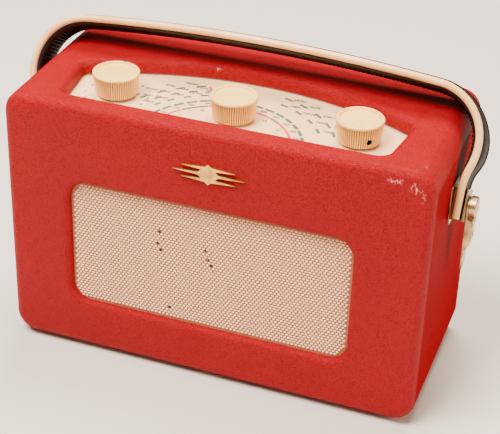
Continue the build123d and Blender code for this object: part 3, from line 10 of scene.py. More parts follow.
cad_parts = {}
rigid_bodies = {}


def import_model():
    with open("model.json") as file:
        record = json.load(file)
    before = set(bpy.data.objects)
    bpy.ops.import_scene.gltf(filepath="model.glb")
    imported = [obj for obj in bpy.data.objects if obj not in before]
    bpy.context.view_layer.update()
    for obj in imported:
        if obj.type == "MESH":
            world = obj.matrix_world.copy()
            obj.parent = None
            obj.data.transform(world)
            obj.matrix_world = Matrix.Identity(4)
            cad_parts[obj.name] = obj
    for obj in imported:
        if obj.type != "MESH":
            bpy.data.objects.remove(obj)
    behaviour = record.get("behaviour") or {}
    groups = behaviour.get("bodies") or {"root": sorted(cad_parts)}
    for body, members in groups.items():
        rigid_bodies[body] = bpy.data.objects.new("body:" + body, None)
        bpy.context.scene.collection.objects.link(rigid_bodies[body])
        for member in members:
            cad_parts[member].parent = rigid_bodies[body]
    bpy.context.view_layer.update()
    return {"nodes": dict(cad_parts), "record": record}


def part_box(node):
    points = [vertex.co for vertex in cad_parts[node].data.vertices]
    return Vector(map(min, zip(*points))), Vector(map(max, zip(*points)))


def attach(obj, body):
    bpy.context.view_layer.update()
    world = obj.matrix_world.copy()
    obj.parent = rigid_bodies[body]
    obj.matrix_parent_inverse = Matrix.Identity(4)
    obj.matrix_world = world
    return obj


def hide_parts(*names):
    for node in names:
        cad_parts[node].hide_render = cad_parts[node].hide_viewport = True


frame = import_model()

LOG = logging.getLogger("radio")
MM = 0.001
Colour = tuple[float, float, float]
Point = tuple[float, float, float]


# ---------------------------------------------------------------- modelling helpers
def deselect_all() -> None:
    """Leave edit mode and deselect every object."""
    if bpy.context.object is not None and bpy.context.object.mode != "OBJECT":
        bpy.ops.object.mode_set(mode="OBJECT")
    bpy.ops.object.select_all(action="DESELECT")


def make_active(piece: bpy.types.Object) -> None:
    """Select one object alone and make it active.

    Args:
        piece: The object to work on.
    """
    deselect_all()
    piece.select_set(True)
    bpy.context.view_layer.objects.active = piece


def name_active(name: str) -> bpy.types.Object:
    """Name the active object and its mesh.

    Args:
        name: The new name.

    Returns:
        The active object.
    """
    piece = bpy.context.object
    piece.name = name
    piece.data.name = name
    return piece


def apply_place(piece: bpy.types.Object) -> None:
    """Move an object's place into its mesh, so that the object sits at the origin.

    Args:
        piece: The object to settle.
    """
    make_active(piece)
    bpy.ops.object.transform_apply(location=True, rotation=True, scale=True)


def apply_modifier(piece: bpy.types.Object, kind: str, **settings: object) -> None:
    """Add one modifier with its settings and apply it at once.

    Args:
        piece: The object that takes the modifier.
        kind: Blender's modifier type.
        **settings: The modifier's own settings.
    """
    make_active(piece)
    modifier = piece.modifiers.new(kind.lower(), kind)
    for key, value in settings.items():
        setattr(modifier, key, value)
    bpy.ops.object.modifier_apply(modifier=modifier.name)


def outward_normals(piece: bpy.types.Object) -> None:
    """Merge doubled points and turn every face outwards.

    Args:
        piece: The mesh object to clean.
    """
    make_active(piece)
    bpy.ops.object.mode_set(mode="EDIT")
    bpy.ops.mesh.select_all(action="SELECT")
    bpy.ops.mesh.remove_doubles(threshold=0.000005)
    bpy.ops.mesh.normals_make_consistent(inside=False)
    bpy.ops.object.mode_set(mode="OBJECT")


def smooth(piece: bpy.types.Object, degrees: float = 40.0) -> None:
    """Shade a mesh smooth, with edges sharper than an angle kept crisp.

    Args:
        piece: The mesh object.
        degrees: The angle past which an edge stays sharp.
    """
    make_active(piece)
    bpy.ops.object.shade_smooth_by_angle(angle=math.radians(degrees))


def joined(pieces: list[bpy.types.Object], name: str) -> bpy.types.Object:
    """Join several meshes into one named object.

    Args:
        pieces: The objects to join.
        name: The joined object's name.

    Returns:
        The joined object.
    """
    deselect_all()
    for piece in pieces:
        piece.select_set(True)
    bpy.context.view_layer.objects.active = pieces[0]
    if len(pieces) > 1:
        bpy.ops.object.join()
    return name_active(name)


def dress(piece: bpy.types.Object, body: str, finish: bpy.types.Material) -> None:
    """Give a new piece its body and its finish.

    Args:
        piece: The finished mesh object.
        body: The CAD body that it rides on.
        finish: The material to show.
    """
    piece.data.materials.clear()
    piece.data.materials.append(finish)
    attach(piece, body)
    LOG.info("%s: %d faces on %s", piece.name, len(piece.data.polygons), body)


def copy_at(source: bpy.types.Object, matrix: Matrix, name: str) -> bpy.types.Object:
    """Copy a modelled piece with its own mesh and move the copy.

    Args:
        source: The piece to copy.
        matrix: Where the copy goes, from the source's place.
        name: The copy's name.

    Returns:
        The new object, at the origin with its place in its mesh.
    """
    copy = source.copy()
    copy.data = source.data.copy()
    copy.name = name
    bpy.context.scene.collection.objects.link(copy)
    copy.data.transform(matrix)
    return copy


def rolled_grid(name: str, columns: int, rows: int, place) -> bpy.types.Object:
    """Model a strip from a grid primitive whose points are moved one by one.

    Args:
        name: The piece's name.
        columns: Faces along the strip.
        rows: Faces across the strip.
        place: A function from shares (along, across) in 0..1 to a point.

    Returns:
        The shaped mesh object.
    """
    deselect_all()
    bpy.ops.mesh.primitive_grid_add(x_subdivisions=columns, y_subdivisions=rows, size=2)
    piece = name_active(name)
    for vertex in piece.data.vertices:
        along, across = (vertex.co.x + 1) / 2, (vertex.co.y + 1) / 2
        vertex.co = place(along, across)
    piece.data.update()
    return piece


# ---------------------------------------------------------------- shader groups
class Wiring:
    """A node tree being wired, for a material or for a group."""

    def __init__(self, tree: bpy.types.NodeTree) -> None:
        """Start on an empty tree.

        Args:
            tree: The node tree to fill.
        """
        self.tree = tree
        tree.nodes.clear()

    def node(self, kind: str, inputs: dict | None = None, **settings: object) -> bpy.types.Node:
        """Add a node, set it up and wire or fill its inputs.

        Args:
            kind: The node's type name without its ShaderNode prefix.
            inputs: Socket names or indices, each with a value or an output socket.
            **settings: The node's own settings.

        Returns:
            The new node.
        """
        prefix = "" if kind.startswith("Node") else "ShaderNode"
        made = self.tree.nodes.new(prefix + kind)
        for key, value in settings.items():
            setattr(made, key, value)
        for key, value in (inputs or {}).items():
            if isinstance(value, bpy.types.NodeSocket):
                self.tree.links.new(value, made.inputs[key])
            else:
                made.inputs[key].default_value = value
        return made

    def maths(self, operation: str, a: object, b: object = 0.0, c: object = 0.0):
        """Add a maths node.

        Args:
            operation: The node's operation.
            a: First value or socket.
            b: Second value or socket.
            c: Third value or socket.

        Returns:
            The result socket.
        """
        return self.node("Math", {0: a, 1: b, 2: c}, operation=operation).outputs[0]

    def ramp(self, value: object, low: float, high: float):
        """Remap a value so that low becomes 0 and high becomes 1, softly.

        Args:
            value: The value or socket to remap.
            low: The value that gives 0.
            high: The value that gives 1.

        Returns:
            The result socket.
        """
        inputs = {"Value": value, "From Min": low, "From Max": high}
        return self.node("MapRange", inputs, interpolation_type="SMOOTHSTEP").outputs[0]

    def mix(self, share: object, a: object, b: object):
        """Mix two colours.

        Args:
            share: How much of the second colour shows.
            a: First colour or socket.
            b: Second colour or socket.

        Returns:
            The mixed colour's socket.
        """
        a = (*a, 1.0) if isinstance(a, tuple) and len(a) == 3 else a
        b = (*b, 1.0) if isinstance(b, tuple) and len(b) == 3 else b
        made = self.node("Mix", {0: share, 6: a, 7: b}, data_type="RGBA")
        return made.outputs[2]

    def noise(self, vector: object, scale: float, detail: float = 3.0):
        """Add a noise texture.

        Args:
            vector: The coordinates.
            scale: Its scale, per metre.
            detail: Its detail.

        Returns:
            The noise value's socket.
        """
        inputs = {"Vector": vector, "Scale": scale, "Detail": detail}
        return self.node("TexNoise", inputs).outputs[0]


def new_group(name: str, inputs: dict[str, str], outputs: list[str]) -> tuple[Wiring, dict, dict]:
    """Start a shader node group with named sockets.

    Args:
        name: The group's name.
        inputs: Each input's name and socket type.
        outputs: The names of its value outputs.

    Returns:
        The wiring, the group's input sockets by name and its output node's inputs by name.
    """
    tree = bpy.data.node_groups.new(name, "ShaderNodeTree")
    for key, kind in inputs.items():
        tree.interface.new_socket(key, in_out="INPUT", socket_type=kind)
    for key in outputs:
        tree.interface.new_socket(key, in_out="OUTPUT", socket_type="NodeSocketFloat")
    wiring = Wiring(tree)
    source = wiring.node("NodeGroupInput")
    sink = wiring.node("NodeGroupOutput")
    return wiring, {k: source.outputs[k] for k in inputs}, {k: sink.inputs[k] for k in outputs}


def grain_group() -> bpy.types.NodeTree:
    """Make the pebbled grain of leathercloth and leather.

    Returns:
        A group with Height and Crease outputs.
    """
    wiring, given, made = new_group(
        "pebbled_grain", {"Vector": "NodeSocketVector", "Scale": "NodeSocketFloat"}, ["Height", "Crease"]
    )
    wobble = wiring.node("TexNoise", {"Vector": given["Vector"], "Scale": 260.0, "Detail": 2.0})
    bent = wiring.node(
        "VectorMath", {0: wobble.outputs[1], 1: (0.0016, 0.0016, 0.0016)}, operation="MULTIPLY"
    )
    place = wiring.node("VectorMath", {0: given["Vector"], 1: bent.outputs[0]}, operation="ADD")
    cells = wiring.node(
        "TexVoronoi",
        {"Vector": place.outputs[0], "Scale": given["Scale"], "Randomness": 0.9},
        feature="DISTANCE_TO_EDGE",
    )
    crown = wiring.ramp(cells.outputs[0], 0.0, 0.28)
    fine = wiring.noise(given["Vector"], 2600.0, 2.0)
    height = wiring.maths("MULTIPLY_ADD", fine, 0.25, crown)
    wiring.tree.links.new(height, made["Height"])
    wiring.tree.links.new(wiring.maths("SUBTRACT", 1.0, crown), made["Crease"])
    return wiring.tree


def scuff_group() -> bpy.types.NodeTree:
    """Make one ragged scuffed spot round a point.

    Returns:
        A group with a Mask output.
    """
    wiring, given, made = new_group(
        "scuffed_spot",
        {
            "Vector": "NodeSocketVector",
            "Centre": "NodeSocketVector",
            "Stretch": "NodeSocketVector",
            "Radius": "NodeSocketFloat",
        },
        ["Mask"],
    )
    offset = wiring.node(
        "VectorMath", {0: given["Vector"], 1: given["Centre"]}, operation="SUBTRACT"
    )
    scaled = wiring.node(
        "VectorMath", {0: offset.outputs[0], 1: given["Stretch"]}, operation="MULTIPLY"
    )
    length = wiring.node("VectorMath", {0: scaled.outputs[0]}, operation="LENGTH").outputs["Value"]
    share = wiring.maths("DIVIDE", length, given["Radius"])
    drawn = wiring.node("Mapping", {"Vector": given["Vector"], "Scale": (1.0, 0.8, 0.45)})
    ragged = wiring.noise(drawn.outputs[0], 1300.0, 6.0)
    reach = wiring.maths("MULTIPLY_ADD", ragged, 3.4, -1.7)
    total = wiring.maths("ADD", share, reach)
    fading = wiring.ramp(share, 1.3, 0.2)
    spot = wiring.maths("MULTIPLY", wiring.ramp(total, 0.60, 0.10), fading)
    wiring.tree.links.new(spot, made["Mask"])
    return wiring.tree


def mottle_group() -> bpy.types.NodeTree:
    """Make the slow mottling and fine dust of an aged surface.

    Returns:
        A group with Mottle and Dust outputs.
    """
    wiring, given, made = new_group(
        "aged_mottle", {"Vector": "NodeSocketVector", "Scale": "NodeSocketFloat"}, ["Mottle", "Dust"]
    )
    slow = wiring.node("TexNoise", {"Vector": given["Vector"], "Scale": given["Scale"], "Detail": 4.0})
    specks = wiring.noise(given["Vector"], 1500.0, 2.0)
    clouds = wiring.noise(given["Vector"], 45.0, 3.0)
    dust = wiring.maths("MULTIPLY", wiring.ramp(specks, 0.66, 0.76), wiring.ramp(clouds, 0.45, 0.7))
    wiring.tree.links.new(wiring.ramp(slow.outputs[0], 0.3, 0.7), made["Mottle"])
    wiring.tree.links.new(dust, made["Dust"])
    return wiring.tree


class Effects:
    """The shader groups that several finishes share, each built once."""

    def __init__(self) -> None:
        """Build every group."""
        self.grain = grain_group()
        self.scuff = scuff_group()
        self.mottle = mottle_group()

    def place(self, wiring: Wiring, group: bpy.types.NodeTree, inputs: dict) -> bpy.types.Node:
        """Put a group into a material.

        Args:
            wiring: The material's wiring.
            group: The group to place.
            inputs: Its input values or sockets.

        Returns:
            The group node.
        """
        made = wiring.tree.nodes.new("ShaderNodeGroup")
        made.node_tree = group
        for key, value in inputs.items():
            if isinstance(value, bpy.types.NodeSocket):
                wiring.tree.links.new(value, made.inputs[key])
            else:
                made.inputs[key].default_value = value
        return made


# ---------------------------------------------------------------- finishes
@dataclass(frozen=True)
class Flutes:
    """The fluted wall of one knob: its axis at the flutes' top, its reach and their count."""

    top: Point
    reach: float
    count: int = 60


class MaterialStart:
    """A new material with its Principled shader, its output and its object coordinates."""

    def __init__(self, name: str) -> None:
        """Create the material.

        Args:
            name: The material's name.
        """
        self.material = bpy.data.materials.new(name)
        self.material.use_nodes = True
        self.wiring = Wiring(self.material.node_tree)
        self.shader = self.wiring.node("BsdfPrincipled")
        output = self.wiring.node("OutputMaterial")
        self.wiring.tree.links.new(self.shader.outputs[0], output.inputs[0])
        self.coords = self.wiring.node("TexCoord").outputs["Object"]

    def set(self, socket: str, value: object) -> None:
        """Set or wire one socket of the shader.

        Args:
            socket: The socket's name.
            value: A value or an output socket.
        """
        if isinstance(value, bpy.types.NodeSocket):
            self.wiring.tree.links.new(value, self.shader.inputs[socket])
        else:
            self.shader.inputs[socket].default_value = value

    def darken_spots(self, colour: object, spots: tuple, spot_colour: Colour) -> object:
        """Darken a colour inside small round spots.

        Args:
            colour: The colour to darken.
            spots: The spots, each with a centre and a radius.
            spot_colour: The colour inside a spot.

        Returns:
            The colour socket.
        """
        for spot in spots:
            offset = self.wiring.node(
                "VectorMath", {0: self.coords, 1: spot.centre}, operation="DISTANCE"
            )
            inside = self.wiring.ramp(offset.outputs["Value"], spot.radius, 0.9 * spot.radius)
            colour = self.wiring.mix(inside, colour, spot_colour)
        return colour

    def shade_flute_troughs(self, colour: object, walls: tuple[Flutes, ...], shade: Colour):
        """Paint shade into the troughs between the flutes.

        Args:
            colour: The colour to darken.
            walls: The fluted walls.
            shade: The painted shade colour in a trough.

        Returns:
            The colour socket.
        """
        wiring = self.wiring
        full_share = 0.85
        for wall in walls:
            offset = wiring.node(
                "VectorMath", {0: self.coords, 1: wall.top}, operation="SUBTRACT"
            ).outputs[0]
            parts = wiring.node("SeparateXYZ", {0: offset}).outputs
            flat = wiring.node("VectorMath", {0: offset, 1: (1.0, 1.0, 0.0)}, operation="MULTIPLY")
            reach = wiring.node("VectorMath", {0: flat.outputs[0]}, operation="LENGTH")
            turn = wiring.maths("MULTIPLY", wiring.maths("ARCTAN2", parts[1], parts[0]), wall.count)
            trough = wiring.ramp(wiring.maths("COSINE", turn), 0.3, -0.9)
            near = wiring.ramp(reach.outputs["Value"], wall.reach + 0.5 * MM, wall.reach + 0.1 * MM)
            below = wiring.ramp(parts[2], 0.0, -0.4 * MM)
            share = wiring.maths("MULTIPLY", wiring.maths("MULTIPLY", near, below), trough)
            colour = wiring.mix(wiring.maths("MULTIPLY", share, full_share), colour, shade)
        return colour

    def bump(self, height: object, distance: float, strength: float = 1.0) -> None:
        """Raise the surface by a height through a bump node.

        Args:
            height: The height socket.
            distance: How far a height of 1 stands out, in metres.
            strength: The bump's strength.
        """
        inputs = {"Height": height, "Distance": distance, "Strength": strength}
        self.set("Normal", self.wiring.node("Bump", inputs).outputs[0])


@dataclass(frozen=True)
class RoundSpot:
    """One round spot, a scuff, a dark spot or a spot of painted shade: its centre, radius and stretch along
    each axis, in metres.
    """

    centre: Point
    radius: float
    stretch: Point = (1.0, 1.0, 1.0)


@dataclass(frozen=True)
class Leathercloth:
    """Embossed cloth with a glossy coat and painted shade in its grain's creases, scuffed pale where the coat
    has worn through.
    """

    name: str
    base: Colour
    faded: Colour
    worn: Colour
    grain_scale: float = 1350.0
    grain_depth: float = 0.00017
    roughness: float = 0.38
    shine: float = 0.11
    scuffs: tuple[RoundSpot, ...] = ()

    def material(self, effects: Effects) -> bpy.types.Material:
        """Wire the material.

        Args:
            effects: The shared shader groups.

        Returns:
            The finished material.
        """
        start = MaterialStart(self.name)
        wiring = start.wiring
        grain = effects.place(
            wiring, effects.grain, {"Vector": start.coords, "Scale": self.grain_scale}
        )
        aged = effects.place(wiring, effects.mottle, {"Vector": start.coords, "Scale": 14.0})
        colour = wiring.mix(wiring.maths("MULTIPLY", aged.outputs["Mottle"], 0.5), self.base, self.faded)
        # Painted shade: the grain's creases are darkened towards a third of the base colour.
        crease = wiring.maths("MULTIPLY", grain.outputs["Crease"], 0.8)
        dark = tuple(0.32 * c for c in self.base)
        colour = wiring.mix(crease, colour, dark)
        worn: object = wiring.maths("MULTIPLY", aged.outputs["Dust"], 0.05)
        for spot in self.scuffs:
            placed = effects.place(
                wiring,
                effects.scuff,
                {
                    "Vector": start.coords,
                    "Centre": spot.centre,
                    "Stretch": spot.stretch,
                    "Radius": spot.radius,
                },
            )
            worn = wiring.maths("MAXIMUM", worn, placed.outputs["Mask"])
        start.set("Base Color", wiring.mix(worn, colour, self.worn))
        rough = wiring.maths("MULTIPLY_ADD", aged.outputs["Mottle"], 0.10, self.roughness)
        start.set("Roughness", wiring.maths("MULTIPLY_ADD", worn, 0.3, rough))
        facing = wiring.node("LayerWeight", {"Blend": 0.5}).outputs["Facing"]
        grazing = wiring.ramp(facing, 0.88, 0.45)
        start.set("Specular IOR Level", wiring.maths("MULTIPLY", grazing, self.shine))
        height = wiring.maths("MULTIPLY_ADD", worn, -0.7, grain.outputs["Height"])
        start.bump(height, self.grain_depth)
        return start.material


@dataclass(frozen=True)
class Plastic:
    """Moulded plastic with slow yellowing, fine scratches, handling grime, and painted shade in its flute
    troughs and grub screw holes.
    """

    name: str
    base: Colour
    aged: Colour
    roughness: float = 0.28
    grime: float = 0.25
    hole_shade_spots: tuple[RoundSpot, ...] = ()
    flutes: tuple[Flutes, ...] = ()

    def material(self, effects: Effects) -> bpy.types.Material:
        """Wire the material.

        Args:
            effects: The shared shader groups.

        Returns:
            The finished material.
        """
        start = MaterialStart(self.name)
        wiring = start.wiring
        aged = effects.place(wiring, effects.mottle, {"Vector": start.coords, "Scale": 60.0})
        colour = wiring.mix(aged.outputs["Mottle"], self.base, self.aged)
        grime = wiring.maths("MULTIPLY", aged.outputs["Dust"], self.grime)
        dirt = tuple(0.25 * c for c in self.aged)
        colour = wiring.mix(grime, colour, dirt)
        # Painted shade darkens the troughs between the knobs' flutes.
        colour = start.shade_flute_troughs(colour, self.flutes, tuple(0.5 * c for c in self.aged))
        # Near-black painted shade fills the middle of each grub screw hole.
        start.set("Base Color", start.darken_spots(colour, self.hole_shade_spots, (0.012, 0.006, 0.003)))
        scratches = wiring.noise(
            wiring.node("Mapping", {"Vector": start.coords, "Scale": (1.0, 14.0, 1.0)}).outputs[0],
            300.0,
            2.0,
        )
        start.set("Roughness", wiring.maths("MULTIPLY_ADD", scratches, 0.16, self.roughness - 0.08))
        start.bump(scratches, 0.00001)
        return start.material


@dataclass(frozen=True)
class Metal:
    """Plated or bare metal with brushed streaks and tarnished patches."""

    name: str
    base: Colour
    tarnish: Colour
    roughness: float = 0.25
    tarnish_share: float = 0.6
    streak: Point = (1.0, 1.0, 12.0)

    def material(self, effects: Effects) -> bpy.types.Material:
        """Wire the material.

        Args:
            effects: The shared shader groups.

        Returns:
            The finished material.
        """
        start = MaterialStart(self.name)
        wiring = start.wiring
        aged = effects.place(wiring, effects.mottle, {"Vector": start.coords, "Scale": 160.0})
        share = wiring.maths("MULTIPLY", aged.outputs["Mottle"], self.tarnish_share)
        start.set("Base Color", wiring.mix(share, self.base, self.tarnish))
        start.set("Metallic", 1.0)
        streaks = wiring.noise(
            wiring.node("Mapping", {"Vector": start.coords, "Scale": self.streak}).outputs[0],
            900.0,
            2.0,
        )
        rough = wiring.maths("MULTIPLY_ADD", streaks, 0.2, self.roughness - 0.1)
        start.set("Roughness", wiring.maths("MULTIPLY_ADD", share, 0.25, rough))
        start.bump(streaks, 0.000008)
        return start.material


class Figure(Enum):
    """The kinds of figure that a matt material can have."""

    SPECKLE = "speckle"
    WOOD = "wood"
    WINDING = "winding"
    FELT = "felt"


@dataclass(frozen=True)
class Matt:
    """A matt material with a speckled, wooden, wound or felted figure."""

    name: str
    base: Colour
    second: Colour
    figure: Figure = Figure.SPECKLE
    scale: float = 300.0
    roughness: float = 0.75
    depth: float = 0.00005
    dark_spots: tuple[RoundSpot, ...] = ()

    def material(self, effects: Effects) -> bpy.types.Material:
        """Wire the material.

        Args:
            effects: The shared shader groups.

        Returns:
            The finished material.
        """
        start = MaterialStart(self.name)
        wiring = start.wiring
        if self.figure is Figure.WOOD:
            stretched = wiring.node("Mapping", {"Vector": start.coords, "Scale": (1.0, 8.0, 8.0)})
            value = wiring.noise(stretched.outputs[0], self.scale, 5.0)
        elif self.figure is Figure.WINDING:
            wave = wiring.node(
                "TexWave", {"Vector": start.coords, "Scale": self.scale, "Distortion": 0.3}
            )
            value = wave.outputs[1]
        elif self.figure is Figure.FELT:
            value = wiring.noise(start.coords, self.scale, 8.0)
        else:
            aged = effects.place(
                wiring, effects.mottle, {"Vector": start.coords, "Scale": self.scale}
            )
            value = wiring.maths("ADD", aged.outputs["Mottle"], aged.outputs["Dust"])
        share = wiring.ramp(value, 0.3, 0.7)
        colour = wiring.mix(share, self.base, self.second)
        start.set("Base Color", start.darken_spots(colour, self.dark_spots, (0.010, 0.006, 0.004)))
        start.set("Roughness", wiring.maths("MULTIPLY_ADD", share, 0.12, self.roughness - 0.06))
        start.bump(value, self.depth)
        return start.material


@dataclass(frozen=True)
class ClearSheet:
    """Clear acrylic with a few hairline scratches."""

    name: str
    tint: Colour = (1.0, 0.99, 0.96)

    def material(self, effects: Effects) -> bpy.types.Material:
        """Wire the material.

        Args:
            effects: The shared shader groups; not used.

        Returns:
            The finished material.
        """
        start = MaterialStart(self.name)
        wiring = start.wiring
        hairs = wiring.noise(
            wiring.node("Mapping", {"Vector": start.coords, "Scale": (1.0, 30.0, 1.0)}).outputs[0],
            120.0,
            2.0,
        )
        scratch = wiring.ramp(hairs, 0.62, 0.76)
        start.set("Base Color", (*self.tint, 1.0))
        start.set("Roughness", wiring.maths("MULTIPLY_ADD", scratch, 0.2, 0.04))
        start.set("Alpha", wiring.maths("MULTIPLY_ADD", scratch, 0.06, 0.07))
        return start.material


SCUFFS = (
    RoundSpot((0.0975, -0.0512, 0.1492), 0.0066, (1.0, 1.0, 3.2)),
    RoundSpot((0.1075, -0.0500, 0.1470), 0.0046, (1.0, 1.0, 1.0)),
    RoundSpot((0.1115, -0.0490, 0.1425), 0.0042, (1.8, 1.0, 0.8)),
    RoundSpot((0.1110, -0.0490, 0.1390), 0.0032, (2.2, 1.0, 0.7)),
    RoundSpot((0.1085, -0.0410, 0.1530), 0.0028, (1.6, 0.7, 1.0)),
    RoundSpot((-0.1140, -0.0440, 0.1480), 0.0022, (1.0, 1.0, 1.0)),
    RoundSpot((-0.1150, -0.0200, 0.1500), 0.0018, (1.0, 1.0, 1.0)),
    RoundSpot((0.1150, 0.0505, 0.1490), 0.0042, (1.0, 1.0, 1.0)),
    RoundSpot((-0.1150, -0.0500, 0.0080), 0.0030, (1.0, 1.0, 1.0)),
    RoundSpot((-0.0240, 0.0232, 0.1530), 0.0016, (0.6, 1.0, 1.0)),
)


TORN = (
    (-0.0290, 0.0870),
    (-0.0270, 0.0835),
    (-0.0300, 0.0800),
    (-0.0285, 0.0760),
    (-0.0025, 0.0820),
    (-0.0005, 0.0760),
    (0.0008, 0.0730),
    (0.0018, 0.0700),
    (-0.0230, 0.0400),
)


def grub_hole_shade() -> tuple[RoundSpot, ...]:
    """Find where to paint shade inside each knob's grub screw hole.

    Returns:
        A spot of painted shade in the middle of each hole.
    """
    spots = []
    for name in ("volume", "tuning", "band"):
        low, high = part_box(f"knob_{name}")
        head_low, head_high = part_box(f"grub_screw_{name}")
        middle, head = (low + high) / 2, (head_low + head_high) / 2
        outward = Vector((head.x - middle.x, head.y - middle.y, 0)).normalized()
        spot = Vector((middle.x, middle.y, head.z)) + outward * 9.1 * MM
        spots.append(RoundSpot(tuple(spot), 2.5 * MM))
    return tuple(spots)


KNOB_RIM = 1.6 * MM


def knob_flutes() -> tuple[Flutes, ...]:
    """Find each knob's fluted wall.

    Returns:
        The walls, each under a plain rim.
    """
    walls = []
    for name in ("volume", "tuning", "band"):
        low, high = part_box(f"knob_{name}")
        top = Vector(((low.x + high.x) / 2, (low.y + high.y) / 2, high.z - KNOB_RIM))
        walls.append(Flutes(tuple(top), (high.x - low.x) / 2))
    return tuple(walls)


GRUB_HOLE_SHADE = grub_hole_shade()
KNOB_FLUTES = knob_flutes()


class Finishes:
    """Every finish of the radio, by the record's slot name."""

    def __init__(self, effects: Effects) -> None:
        """Wire every material.

        Args:
            effects: The shared shader groups.
        """
        steel = (0.55, 0.55, 0.53)
        recipes = {
            "red_leathercloth": Leathercloth(
                "red_leathercloth",
                (0.40, 0.0012, 0.0090),
                (0.50, 0.0030, 0.0120),
                (0.78, 0.26, 0.20),
                scuffs=SCUFFS,
            ),
            "plywood": Matt(
                "plywood", (0.60, 0.40, 0.22), (0.44, 0.27, 0.13), Figure.WOOD, 60.0, 0.65
            ),
            "hardboard": Matt(
                "hardboard", (0.20, 0.11, 0.06), (0.13, 0.07, 0.04), Figure.FELT, 900.0, 0.8
            ),
            "woven_grille": Matt(
                "woven_grille", (0.99, 0.71, 0.49), (0.90, 0.55, 0.34), Figure.FELT, 500.0, 0.45
            ),
            "ivory_plastic": Plastic(
                "ivory_plastic", (1.0, 0.67, 0.22), (0.98, 0.56, 0.15), 0.24, 0.3, GRUB_HOLE_SHADE, KNOB_FLUTES
            ),
            "clear_acrylic": ClearSheet("clear_acrylic"),
            "dial_print": Matt(
                "dial_print", (1.0, 0.67, 0.36), (0.94, 0.60, 0.30), Figure.SPECKLE, 40.0, 0.5, 0.0
            ),
            "gilt_metal": Metal("gilt_metal", (0.88, 0.52, 0.15), (0.40, 0.19, 0.04), 0.30, 0.8),
            "bright_nickel": Metal(
                "bright_nickel", (0.70, 0.48, 0.27), (0.24, 0.13, 0.05), 0.30, 0.85
            ),
            "zinc_steel": Metal("zinc_steel", steel, (0.36, 0.34, 0.28), 0.40, 0.7),
            "chassis_steel": Metal(
                "chassis_steel", (0.60, 0.60, 0.57), (0.42, 0.40, 0.34), 0.45, 0.6, (1.0, 16.0, 1.0)
            ),
            "brass_spindle": Metal(
                "brass_spindle", (0.78, 0.58, 0.28), (0.42, 0.28, 0.10), 0.30, 0.5
            ),
            "black_plastic": Plastic(
                "black_plastic", (0.020, 0.020, 0.020), (0.045, 0.042, 0.040), 0.40, 0.1
            ),
            "board_laminate": Matt(
                "board_laminate", (0.42, 0.22, 0.08), (0.32, 0.16, 0.06), Figure.FELT, 500.0, 0.5
            ),
            "aluminium_can": Metal(
                "aluminium_can", (0.80, 0.80, 0.79), (0.60, 0.60, 0.58), 0.35, 0.5
            ),
            "lacquered_iron": Matt(
                "lacquered_iron", (0.03, 0.03, 0.03), (0.07, 0.06, 0.05), Figure.SPECKLE, 220.0, 0.45
            ),
            "ferrite": Matt(
                "ferrite", (0.05, 0.05, 0.055), (0.09, 0.09, 0.09), Figure.SPECKLE, 500.0, 0.6
            ),
            "coil_copper": Matt(
                "coil_copper", (0.55, 0.20, 0.07), (0.20, 0.07, 0.03), Figure.WINDING, 420.0, 0.4
            ),
            "cone_paper": Matt(
                "cone_paper", (0.035, 0.030, 0.028), (0.07, 0.06, 0.05), Figure.FELT, 800.0, 0.9
            ),
            "battery_card": Matt(
                "battery_card", (0.30, 0.03, 0.03), (0.24, 0.05, 0.04), Figure.FELT, 400.0, 0.5
            ),
            "black_leather": Leathercloth(
                "black_leather",
                (0.012, 0.006, 0.006),
                (0.030, 0.014, 0.012),
                (0.10, 0.07, 0.06),
                950.0,
                0.00010,
                0.42,
                0.34,
            ),
            "cream_piping": Plastic(
                "cream_piping", (0.98, 0.63, 0.30), (0.86, 0.47, 0.18), 0.30, 0.6
            ),
            "black_felt": Matt(
                "black_felt", (0.018, 0.015, 0.012), (0.05, 0.04, 0.03), Figure.FELT, 1500.0, 0.95
            ),
            "green_felt": Matt(
                "green_felt", (0.05, 0.12, 0.07), (0.09, 0.18, 0.11), Figure.FELT, 1200.0, 0.95
            ),
        }
        self.by_slot = {slot: recipe.material(effects) for slot, recipe in recipes.items()}
        inks = {
            "red_ink": Matt("red_ink", (0.66, 0.012, 0.010), (0.56, 0.010, 0.008), scale=200.0, depth=0.0),
            "green_ink": Matt(
                "green_ink", (0.020, 0.085, 0.040), (0.014, 0.060, 0.030), scale=200.0, depth=0.0
            ),
            "dark_ink": Matt(
                "dark_ink", (0.045, 0.03, 0.03), (0.10, 0.07, 0.06), scale=200.0, depth=0.0
            ),
        }
        self.inks = {name: recipe.material(effects) for name, recipe in inks.items()}
        self.grille_back = Matt(
            "grille_cloth",
            (0.30, 0.085, 0.04),
            (0.42, 0.15, 0.075),
            Figure.FELT,
            900.0,
            0.85,
            # Near-black spots on the cloth where the weave's crowns are missing.
            dark_spots=tuple(
                RoundSpot((x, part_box("speaker_grille")[0].y, z), 0.9 * MM) for x, z in TORN
            ),
        ).material(effects)

    def dress_nodes(self) -> None:
        """Give every CAD node the finish of its record slot."""
        for row in frame["record"]["subparts"]:
            node = frame["nodes"][row["node"]]
            node.data.materials.clear()
            node.data.materials.append(self.by_slot[row["material_slot"]])
        for name in ("grub_screw_volume", "grub_screw_tuning", "grub_screw_band"):
            frame["nodes"][name].data.materials[0] = self.by_slot["lacquered_iron"]
        grille = frame["nodes"]["speaker_grille"]
        grille.data.materials[0] = self.grille_back
        for name in ("cabinet_covering", "rear_door_covering", "strap_piping_front"):
            smooth(frame["nodes"][name], 35.0)
        LOG.info("dressed %d CAD nodes", len(frame["nodes"]))


